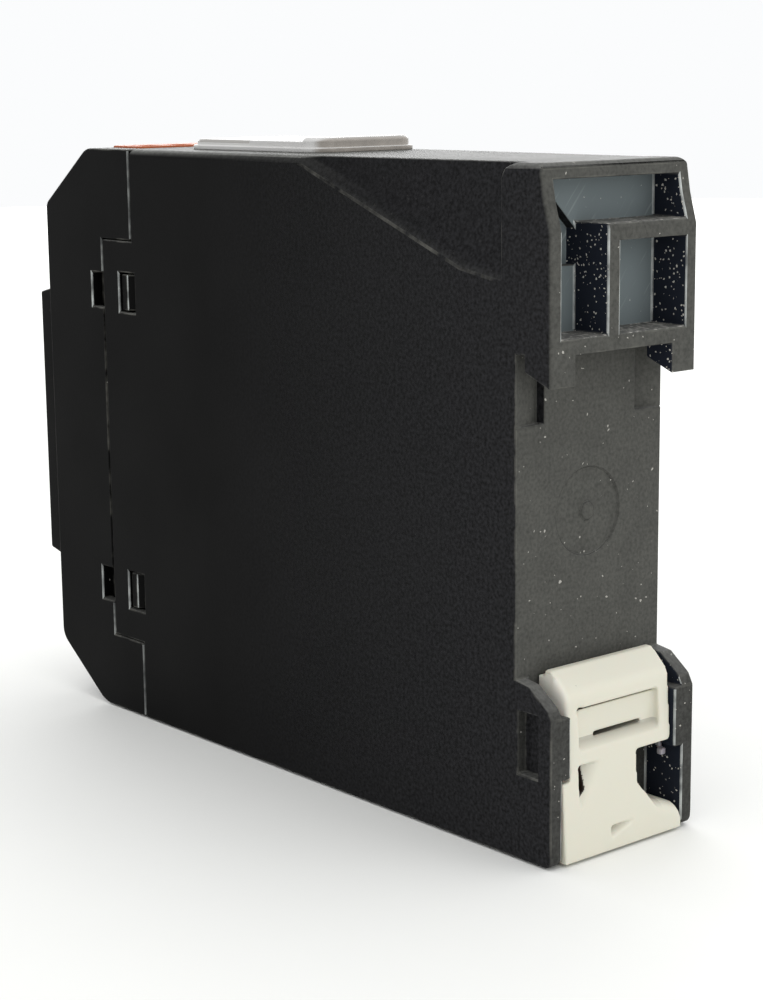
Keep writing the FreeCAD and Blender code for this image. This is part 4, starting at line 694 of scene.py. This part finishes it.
def quarter_ring(centre, axis, start, radius):
    """Flat quarter ring that lies outside an arc about a centre."""
    strip = bmesh.new()
    first = strip.verts.new(centre + start * radius)
    # the turn starts 2 degrees early and ends 2 late, so that the ring crosses both faces
    early = Matrix.Rotation(math.radians(-2), 3, axis)
    bmesh.ops.rotate(strip, cent=centre, matrix=early, verts=[first])
    bmesh.ops.spin(strip, geom=[first], cent=centre, axis=axis, angle=math.radians(94), steps=11)
    rim = verts_in(bmesh.ops.extrude_edge_only(strip, edges=strip.edges[:])["geom"])
    outer = Vector((1, 1, 1)) * 1.7
    bmesh.ops.scale(strip, vec=outer, space=Matrix.Translation(-centre), verts=rim)
    return strip


def swept(strip, moves):
    """Carry a flat strip along moves of a shift, a scale and the scale's centre into a closed one."""
    faces = strip.faces[:]
    for number, (shift, scale, corner) in enumerate(moves):
        grown = bmesh.ops.extrude_face_region(strip, geom=faces, use_keep_orig=True)["geom"]
        if number:
            bmesh.ops.delete(strip, geom=faces, context="FACES")
        faces = faces_in(grown)
        bmesh.ops.translate(strip, vec=shift, verts=verts_in(grown))
        bmesh.ops.scale(strip, vec=scale, space=Matrix.Translation(-corner), verts=verts_in(grown))
    bmesh.ops.recalc_face_normals(strip, faces=strip.faces)
    return strip


def hook_edge_strip(side, radius):
    """Closed strip outside one rounded rear edge of the hook block, swept up along its outline."""
    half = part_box("rear_housing")[1].x
    depth, height = HOOK_OUTLINE[0]
    centre = Vector((side * (half + STRIP_OFF - radius), depth * MM + STRIP_OFF - radius, height * MM))
    start = Vector((1, 0, 0) if side > 0 else (0, 1, 0))
    strip = quarter_ring(centre, Vector((0, 0, 1)), start, radius)
    rises = [Vector((0, b[0] - a[0], b[1] - a[1])) * MM for a, b in zip(HOOK_OUTLINE, HOOK_OUTLINE[1:])]
    return swept(strip, [(rise, Vector((1, 1, 1)), centre) for rise in rises])


def hook_corner_strip(radius):
    """Closed strip outside the hook block's rounded upper corner, fading out towards the front."""
    low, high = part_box("rear_housing")
    behind, full_run, fading_run = 7 * MM, 8 * MM, 10 * MM
    corner = Vector((low.x - STRIP_OFF, behind, high.z + STRIP_OFF))
    centre = corner + Vector((radius, 0, -radius))
    strip = quarter_ring(centre, Vector((0, 1, 0)), Vector((-1, 0, 0)), radius)
    moves = [
        (Vector((0, -full_run, 0)), Vector((1, 1, 1)), corner),
        (Vector((0, -fading_run, 0)), Vector((0.01, 1, 0.01)), corner),
    ]
    return swept(strip, moves)


def within(at, region):
    """Tell whether a place in millimetres lies in a region."""
    return all(least < getattr(at, axis) < most for axis, (least, most) in region.items())


def mark(shape, name, chosen):
    """Raise a face layer to the share that a test gives each face."""
    layer = shape.faces.layers.float.get(name) or shape.faces.layers.float.new(name)
    for face in shape.faces:
        share = chosen(face, face.normal, face.calc_center_median() / MM)
        face[layer] = max(face[layer], float(share))


def soften(shape, width, edges=None):
    """Round edges and mark the new faces for wear and a painted edge highlight."""
    worn = shape.faces.layers.float.new("worn")
    made = bmesh.ops.bevel(
        shape, geom=sharp_edges(shape) if edges is None else edges, offset=width, offset_type="OFFSET",
        segments=2, profile=0.5, affect="EDGES", material=-1, clamp_overlap=False, loop_slide=True,
    )
    for face in made["faces"]:
        face[worn] = 1.0


def seam_shine(face, facing, at):
    """Painted highlight on the long sides' rounded edges that look to the rear: full at the slots, half at
    the seam.
    """
    rounded = facing.y > LEANING and abs(facing.x) > TURNED and abs(facing.z) < LEANING
    if abs(at.x) < SIDE_SKIN or at.y > SEAM_REACH or not rounded or face.calc_area() > THIN_FACE:
        return 0.0
    return 1.0 if SLOT_HEIGHTS[0] < abs(at.z) < SLOT_HEIGHTS[1] else 0.5


def corner_shine(facing, at):
    """Tell an upright rounded corner inside the hook's pockets or the clip's channel, which gets a painted
    highlight.
    """
    upright = abs(facing.x) > LEANING and abs(facing.z) < LEANING
    return upright and any(within(at, region) for region in SHINY_CORNERS)


def to_mesh(shape, name):
    """Close a bmesh into a mesh."""
    mesh = bpy.data.meshes.new(name)
    shape.to_mesh(mesh)
    shape.free()
    return mesh


def stand_in(shape, node, body, finish):
    """Let a shape stand for a CAD piece."""
    name = f"{node}_dressed"
    finish_piece(name, to_mesh(shape, name), body, node, finish)


def dressed(node, body, finish, width):
    """Copy a CAD piece, round its edges and let the copy stand for it."""
    shape = merged_copy(node)
    join_flat(shape)
    soften(shape, width)
    stand_in(shape, node, body, finish)


class RELAY_OT_mouldings(bpy.types.Operator):
    """Dress the black housing, the front cover and the front panel"""

    bl_idname = "relay.mouldings"
    bl_label = "Black mouldings"

    def execute(self, context):
        colours, sizes = context.scene.relay_colours, context.scene.relay_sizes
        black = moulded_black_abs(colours)
        dressed("front_panel", "enclosure", black, sizes.moulded_edge)
        cover = merged_copy("front_cover")
        join_flat(cover)
        soften(cover, sizes.moulded_edge)
        # painted highlight on the cover's rounded edges by the slots and the seam
        mark(cover, "bright", seam_shine)
        stand_in(cover, "front_cover", "enclosure", black)
        shape = merged_copy("rear_housing")
        join_flat(shape)
        for name, test in (
            # floors of the hook's pockets, which get painted light
            ("pocket", lambda face, facing, at: facing.y > SQUARE and within(at, POCKET_FLOORS)),
            ("shaded", lambda face, facing, at: abs(facing.x) > SQUARE and within(at, INNER_WALLS)),
            ("gritty", lambda face, facing, at: facing.x > SQUARE and within(at, GRITTY_WALLS)),
            ("ledge", lambda face, facing, at: facing.z > SQUARE and within(at, POCKET_LEDGES)),
        ):
            mark(shape, name, test)
        soften(shape, sizes.moulded_edge)
        worn = shape.faces.layers.float["worn"]
        for face in shape.faces:
            if within(face.calc_center_median() / MM, HIDDEN_EDGES):
                face[worn] = 0.0
        # painted highlight on the rounded corners inside the pockets and channel, and by the slots and the
        # seam
        mark(shape, "bright", lambda face, facing, at: face[worn] and corner_shine(facing, at))
        mark(shape, "bright", seam_shine)
        # the hook's larger roundings are cut last, across the small ones
        for strip in (
            hook_edge_strip(1, sizes.hook_edge),
            hook_edge_strip(-1, sizes.hook_edge),
            hook_corner_strip(sizes.hook_corner),
        ):
            shape = applied(shape, "BOOLEAN", strip, operation="DIFFERENCE", solver="MANIFOLD")
        stand_in(shape, "rear_housing", "enclosure", black)
        return {"FINISHED"}


class RELAY_OT_top_plate(bpy.types.Operator):
    """Dress the grey plate on the top face"""

    bl_idname = "relay.top_plate"
    bl_label = "Top plate"

    def execute(self, context):
        colours, sizes = context.scene.relay_colours, context.scene.relay_sizes
        grey = satin_grey_abs(colours)
        # the rise of the plate is kept at its rear end only
        low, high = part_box("top_cover_plate")
        start = Vector((low.x - MM, low.y, high.z - sizes.plate_step))
        end = Vector((high.x + MM, high.y - sizes.plate_end, high.z + MM))
        spot = Matrix.Translation((start + end) / 2) @ Matrix.Diagonal((*(end - start), 1))
        block = bmesh.new()
        bmesh.ops.create_cube(block, size=1.0, matrix=spot)
        shape = merged_copy("top_cover_plate")
        shape = applied(shape, "BOOLEAN", block, operation="DIFFERENCE", solver="MANIFOLD")
        join_flat(shape)
        # the slope between the plate's +X side and its top is darker
        level, darkening = start.z / MM, 0.7
        mark(
            shape, "border",
            lambda face, facing, at: darkening * (min(facing.x, facing.z) > 0.5 and at.z < level),
        )
        soften(shape, sizes.plate_edge)
        stand_in(shape, "top_cover_plate", "enclosure", grey)
        return {"FINISHED"}


def shared(value, most=1.0):
    """Value held between nothing and a largest share."""
    return min(max(value, 0.0), most)


def slot_dirt(face, facing, at):
    """Painted shade in the clip's slots: full in the leg's slot, fading towards -X in the finger's gaps."""
    faint_end, least, rise_per_mm = -4.3, 0.4, 0.07
    if within(at, FINGER_GAPS):
        return shared(least + rise_per_mm * (at.x - faint_end))
    return within(at, LEG_SLOT)


def hollow_shade(face, facing, at):
    """Painted shade on the clip's foot and on the shelf under its finger, more the deeper a place lies."""
    darkest = 0.6
    if within(at, FINGER_SHELF):
        shelf_front, fade = 5.0, 1.6
        return shared((shelf_front - at.y) / fade, darkest)
    if within(at, CLIP_FOOT) and facing.y > -0.1:
        foot_depth, foot_height, lean, fade = 5.8, -37.4, 0.073, 1.8
        outer_face = foot_depth - lean * (at.z - foot_height)
        return shared((outer_face - at.y) / fade, darkest)
    return 0.0


def side_rub(face, facing, at):
    """Painted light on the clip's upper +X side, more the squarer it faces out."""
    least, most = 0.1, 0.9
    return shared((facing.x - least) / (most - least)) if within(at, PAINTED_LIGHT_SIDE) else 0.0


class RELAY_OT_rail_clip(bpy.types.Operator):
    """Dress the sliding rail clip"""

    bl_idname = "relay.rail_clip"
    bl_label = "Rail clip"

    def execute(self, context):
        colours, sizes = context.scene.relay_colours, context.scene.relay_sizes
        nylon = natural_nylon(colours)
        shape = applied(merged_copy("din_clip"), "REMESH", mode="VOXEL", voxel_size=sizes.clip_grain)
        # the whole clip is smoothed a little, its dish and its upper side much more
        dish = [vert for vert in shape.verts if within(vert.co / MM, CLIP_DISH)]
        side = [vert for vert in shape.verts if within(vert.co / MM, CLIP_SIDE)]
        for part, rounds in ((shape.verts, 2), (dish, 25), (side, 60)):
            for _ in range(rounds):
                bmesh.ops.smooth_vert(
                    shape, verts=part, factor=0.5, use_axis_x=True, use_axis_y=True, use_axis_z=True
                )
        # painted shade in the leg's slot and the finger's gaps
        mark(shape, "grime", slot_dirt)
        # painted shade on the shelf under the finger and on the foot
        mark(shape, "hollow", hollow_shade)
        # painted light on the clip's upper +X side
        mark(shape, "pale", side_rub)
        # painted shade on the stub's lump
        mark(shape, "bruised", lambda face, facing, at: within(at, STUB_LUMP))
        stand_in(shape, "din_clip", "clip", nylon)
        return {"FINISHED"}


class RELAY_OT_terminals(bpy.types.Operator):
    """Dress the terminal blocks and clamp screws, and finish the cages"""

    bl_idname = "relay.terminals"
    bl_label = "Terminals"

    def execute(self, context):
        colours, sizes = context.scene.relay_colours, context.scene.relay_sizes
        # glass-filled polyamide: saturated, satin, with a fine fibre grain
        orange = moulded("orange_polyamide", colours.terminal_orange, 0.3, 0.38, 0.52)
        for node in ("upper_terminal_block", "lower_terminal_block"):
            dressed(node, "enclosure", orange, sizes.block_edge)
        # zinc-plated steel: pale grey, drawn streaks, half gloss
        zinc = plated("zinc_plated_steel", "#B9BBBD", 0.25, 0.45, 0.25)
        for number in range(1, 7):
            dressed(f"terminal_screw_{number}", f"screw_{number}", zinc, sizes.screw_edge)
            finish_node(f"clamp_cage_{number}", zinc)
        return {"FINISHED"}


class RELAY_OT_knob(bpy.types.Operator):
    """Dress the time knob and fill its pointer groove"""

    bl_idname = "relay.knob"
    bl_label = "Time knob"

    def execute(self, context):
        colours, sizes = context.scene.relay_colours, context.scene.relay_sizes
        # satin moulded nylon with a fine grain
        paint = ("pointer", colours.pointer_red)
        grey = moulded("knob_nylon", colours.knob_grey, 0.25, 0.38, 0.5, marked=paint)
        shape = merged_copy("time_knob")
        join_flat(shape)
        mark(
            shape, "pointer", lambda face, facing, at: facing.y < -SQUARE and within(at, POINTER_GROOVE)
        )
        soften(shape, sizes.knob_edge)
        stand_in(shape, "time_knob", "knob", grey)
        return {"FINISHED"}


class RELAY_OT_lamps(bpy.types.Operator):
    """Turn the three domed lamps"""

    bl_idname = "relay.lamps"
    bl_label = "Lamps"

    def execute(self, context):
        sizes = context.scene.relay_sizes
        lenses = {
            "power_led": ("green_lens", "#2E9A4A"),
            "star_led": ("yellow_lens", "#E0B02C"),
            "delta_led": ("red_lens", "#C53527"),
        }
        for node, (slot, code) in lenses.items():
            low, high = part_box(node)
            middle = (low + high) / 2
            flange = (high.x - low.x) / 2
            barrel = flange - sizes.lens_step
            shoulder = high.y - sizes.lens_flange
            dome = sizes.lens_dome
            # half of the lamp's section as (radius, depth), from the flange's middle to the dome's top
            rows = [(0, high.y), (flange, high.y), (flange, shoulder), (barrel, shoulder)]
            for degrees in range(0, 90, 15):
                turn = math.radians(degrees)
                rows.append((barrel * math.cos(turn), low.y + dome - dome * math.sin(turn)))
            rows.append((0, low.y))
            shape = bmesh.new()
            line = [shape.verts.new((middle.x + radius, depth, middle.z)) for radius, depth in rows]
            edges = [shape.edges.new(pair) for pair in zip(line, line[1:])]
            bmesh.ops.spin(
                shape, geom=line + edges, cent=middle, axis=(0, 1, 0), angle=math.tau,
                steps=40, use_merge=True,
            )
            bmesh.ops.remove_doubles(shape, verts=shape.verts, dist=MERGE)
            bmesh.ops.recalc_face_normals(shape, faces=shape.faces)
            soften(shape, sizes.lens_edge, sharp_edges(shape, 60))
            finish = tinted_lens(f"tinted_{slot}", code)
            name = f"{node}_lens"
            finish_piece(name, to_mesh(shape, name), "enclosure", node, finish)
        return {"FINISHED"}


def dial_turn(step):
    """Angle of a dial step from the upright, in radians."""
    return math.radians(DIAL_SWEEP * (step / DIAL_STEPS - 0.5))


class RELAY_OT_dial(bpy.types.Operator):
    """Print the time dial's ticks and numbers on the front panel"""

    bl_idname = "relay.dial"
    bl_label = "Dial print"

    def execute(self, context):
        colours, sizes = context.scene.relay_colours, context.scene.relay_sizes
        low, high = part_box("time_knob")
        centre = (low + high) / 2
        # the print stands on the panel's face
        centre.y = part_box("front_panel")[0].y - sizes.print_height / 2
        # pad-printed ink: flat white, faintly mottled
        ink = moulded("pad_print_ink", colours.print_white, 0.4, 0.5, 0.65)
        reach = sizes.tick_outer - sizes.tick_inner
        scale = Matrix.Diagonal((sizes.tick_width, sizes.print_height, reach, 1))
        shift = Matrix.Translation((0, 0, (sizes.tick_inner + sizes.tick_outer) / 2))
        shape = bmesh.new()
        for step in range(DIAL_STEPS + 1):
            tick = bmesh.ops.create_cube(shape, size=1.0)["verts"]
            spot = Matrix.Translation(centre) @ Matrix.Rotation(dial_turn(step), 4, "Y")
            bmesh.ops.transform(shape, matrix=spot @ shift @ scale, verts=tick)
        finish_piece("dial_ticks", to_mesh(shape, "dial_ticks"), "enclosure", None, ink)
        for step in range(0, DIAL_STEPS + 1, 2):
            text = bpy.data.curves.new(f"dial_number_{step}", "FONT")
            text.body = str(step)
            text.size = sizes.number_height
            text.align_x = "CENTER"
            text.align_y = "CENTER"
            text.extrude = sizes.print_height / 2
            holder = bpy.data.objects.new("dial_text", text)
            mesh = bpy.data.meshes.new_from_object(holder)
            mesh.name = f"dial_number_{step}"
            bpy.data.objects.remove(holder)
            turn = dial_turn(step)
            away = Vector((math.sin(turn), 0, math.cos(turn))) * sizes.number_radius
            upright = Euler((math.radians(90), 0, 0)).to_matrix().to_4x4()
            mesh.transform(Matrix.Translation(centre + away) @ upright)
            finish_piece(f"dial_number_{step}", mesh, "enclosure", None, ink)
        return {"FINISHED"}


class RELAY_OT_inner_parts(bpy.types.Operator):
    """Finish the boards and components inside the case"""

    bl_idname = "relay.inner_parts"
    bl_label = "Inner parts"

    def execute(self, context):
        for name, (make, *values, nodes) in INNER_FINISHES.items():
            finish = make(name, *values)
            for node in nodes:
                finish_node(node, finish)
        return {"FINISHED"}


class RELAY_OT_stage(bpy.types.Operator):
    """Lay the floor, hang the lights and aim the camera"""

    bl_idname = "relay.stage"
    bl_label = "Studio"

    def execute(self, context):
        scene = context.scene
        self.lay_floor(scene)
        self.hang_lights(scene)
        self.aim_camera(scene)
        return {"FINISHED"}

    def lay_floor(self, scene):
        """Lay a pale round floor just under the case."""
        level = Matrix.Translation((0, 0, cad_box[0][2] - FLOOR_GAP))
        shape = bmesh.new()
        bmesh.ops.create_circle(shape, cap_ends=True, radius=FLOOR_RADIUS, segments=96, matrix=level)
        floor = bpy.data.objects.new("floor", to_mesh(shape, "floor"))
        scene.collection.objects.link(floor)
        # matt paint: pale, even, with a faint roller grain
        made, tree, shader, place = material("matt_floor_paint")
        base = tuple(scene.relay_colours.floor_pale)
        tone = grained(
            tree, shader, place, base, darker(base, 0.98),
            grain=3.0, depth=0.02, smoothest=0.75, roughest=0.85,
        )
        tree.links.new(tone, shader.inputs["Base Color"])
        floor.data.materials.append(made)

    def hang_lights(self, scene):
        """Light the studio with a pale sky and softboxes."""
        world = bpy.data.worlds.new("studio")
        world.use_nodes = True
        sky = world.node_tree.nodes["Background"]
        sky.inputs["Color"].default_value = linear("#FBFCFD")
        sky.inputs["Strength"].default_value = 1.0
        scene.world = world
        for name, (spot, aim, wide, high, power) in SOFTBOXES.items():
            lamp = bpy.data.lights.new(name, "AREA")
            lamp.shape = "RECTANGLE"
            lamp.size = wide
            lamp.size_y = high
            lamp.energy = power
            light = bpy.data.objects.new(name, lamp)
            light.location = spot
            light.rotation_euler = (Vector(aim) - Vector(spot)).to_track_quat("-Z", "Y").to_euler()
            scene.collection.objects.link(light)

    def aim_camera(self, scene):
        """Look at the relay from behind its left side, a little from above."""
        turn, rise = math.radians(CAMERA_TURN), math.radians(CAMERA_RISE)
        back = Vector((math.sin(turn) * math.cos(rise), -math.cos(turn) * math.cos(rise), math.sin(rise)))
        right = Vector((0, 0, 1)).cross(back).normalized()
        up = back.cross(right)
        roll = Matrix.Rotation(math.radians(CAMERA_ROLL), 3, "Z")
        facing = Matrix((right, up, back)).transposed() @ roll
        lens = bpy.data.cameras.new("camera")
        lens.sensor_width = CAMERA_SENSOR
        lens.lens = CAMERA_LENS
        lens.clip_start = 0.01
        lens.shift_x, lens.shift_y = CAMERA_SHIFT
        camera = bpy.data.objects.new("camera", lens)
        camera.matrix_world = Matrix.Translation(CAMERA_PLACE) @ facing.to_4x4()
        scene.collection.objects.link(camera)
        scene.camera = camera
        scene.view_settings.view_transform = "Standard"


class RELAY_PT_sidebar(bpy.types.Panel):
    """Lists the relay's operators, sizes and colours"""

    bl_idname = "RELAY_PT_sidebar"
    bl_label = "Timer relay"
    bl_space_type = "VIEW_3D"
    bl_region_type = "UI"
    bl_category = "Relay"

    def draw(self, context):
        for operator in OPERATORS:
            self.layout.operator(operator.bl_idname)
        for group in (context.scene.relay_sizes, context.scene.relay_colours):
            for name in group.bl_rna.properties.keys():
                if name not in ("rna_type", "name"):
                    self.layout.prop(group, name)


OPERATORS = (
    RELAY_OT_mouldings,
    RELAY_OT_top_plate,
    RELAY_OT_rail_clip,
    RELAY_OT_terminals,
    RELAY_OT_knob,
    RELAY_OT_lamps,
    RELAY_OT_dial,
    RELAY_OT_inner_parts,
    RELAY_OT_stage,
)
CLASSES = (RelayColours, RelaySizes) + OPERATORS + (RELAY_PT_sidebar,)


def register():
    """Register the classes and hang the properties on the scene."""
    for entry in CLASSES:
        bpy.utils.register_class(entry)
    bpy.types.Scene.relay_colours = PointerProperty(type=RelayColours)
    bpy.types.Scene.relay_sizes = PointerProperty(type=RelaySizes)


def unregister():
    """Take the properties and classes away again."""
    del bpy.types.Scene.relay_sizes
    del bpy.types.Scene.relay_colours
    for entry in reversed(CLASSES):
        bpy.utils.unregister_class(entry)


def main():
    """Build every piece and the stage."""
    register()
    bpy.ops.relay.mouldings()
    bpy.ops.relay.top_plate()
    bpy.ops.relay.rail_clip()
    bpy.ops.relay.terminals()
    bpy.ops.relay.knob()
    bpy.ops.relay.lamps()
    bpy.ops.relay.dial()
    bpy.ops.relay.inner_parts()
    bpy.ops.relay.stage()


if __name__ == "__main__":
    main()
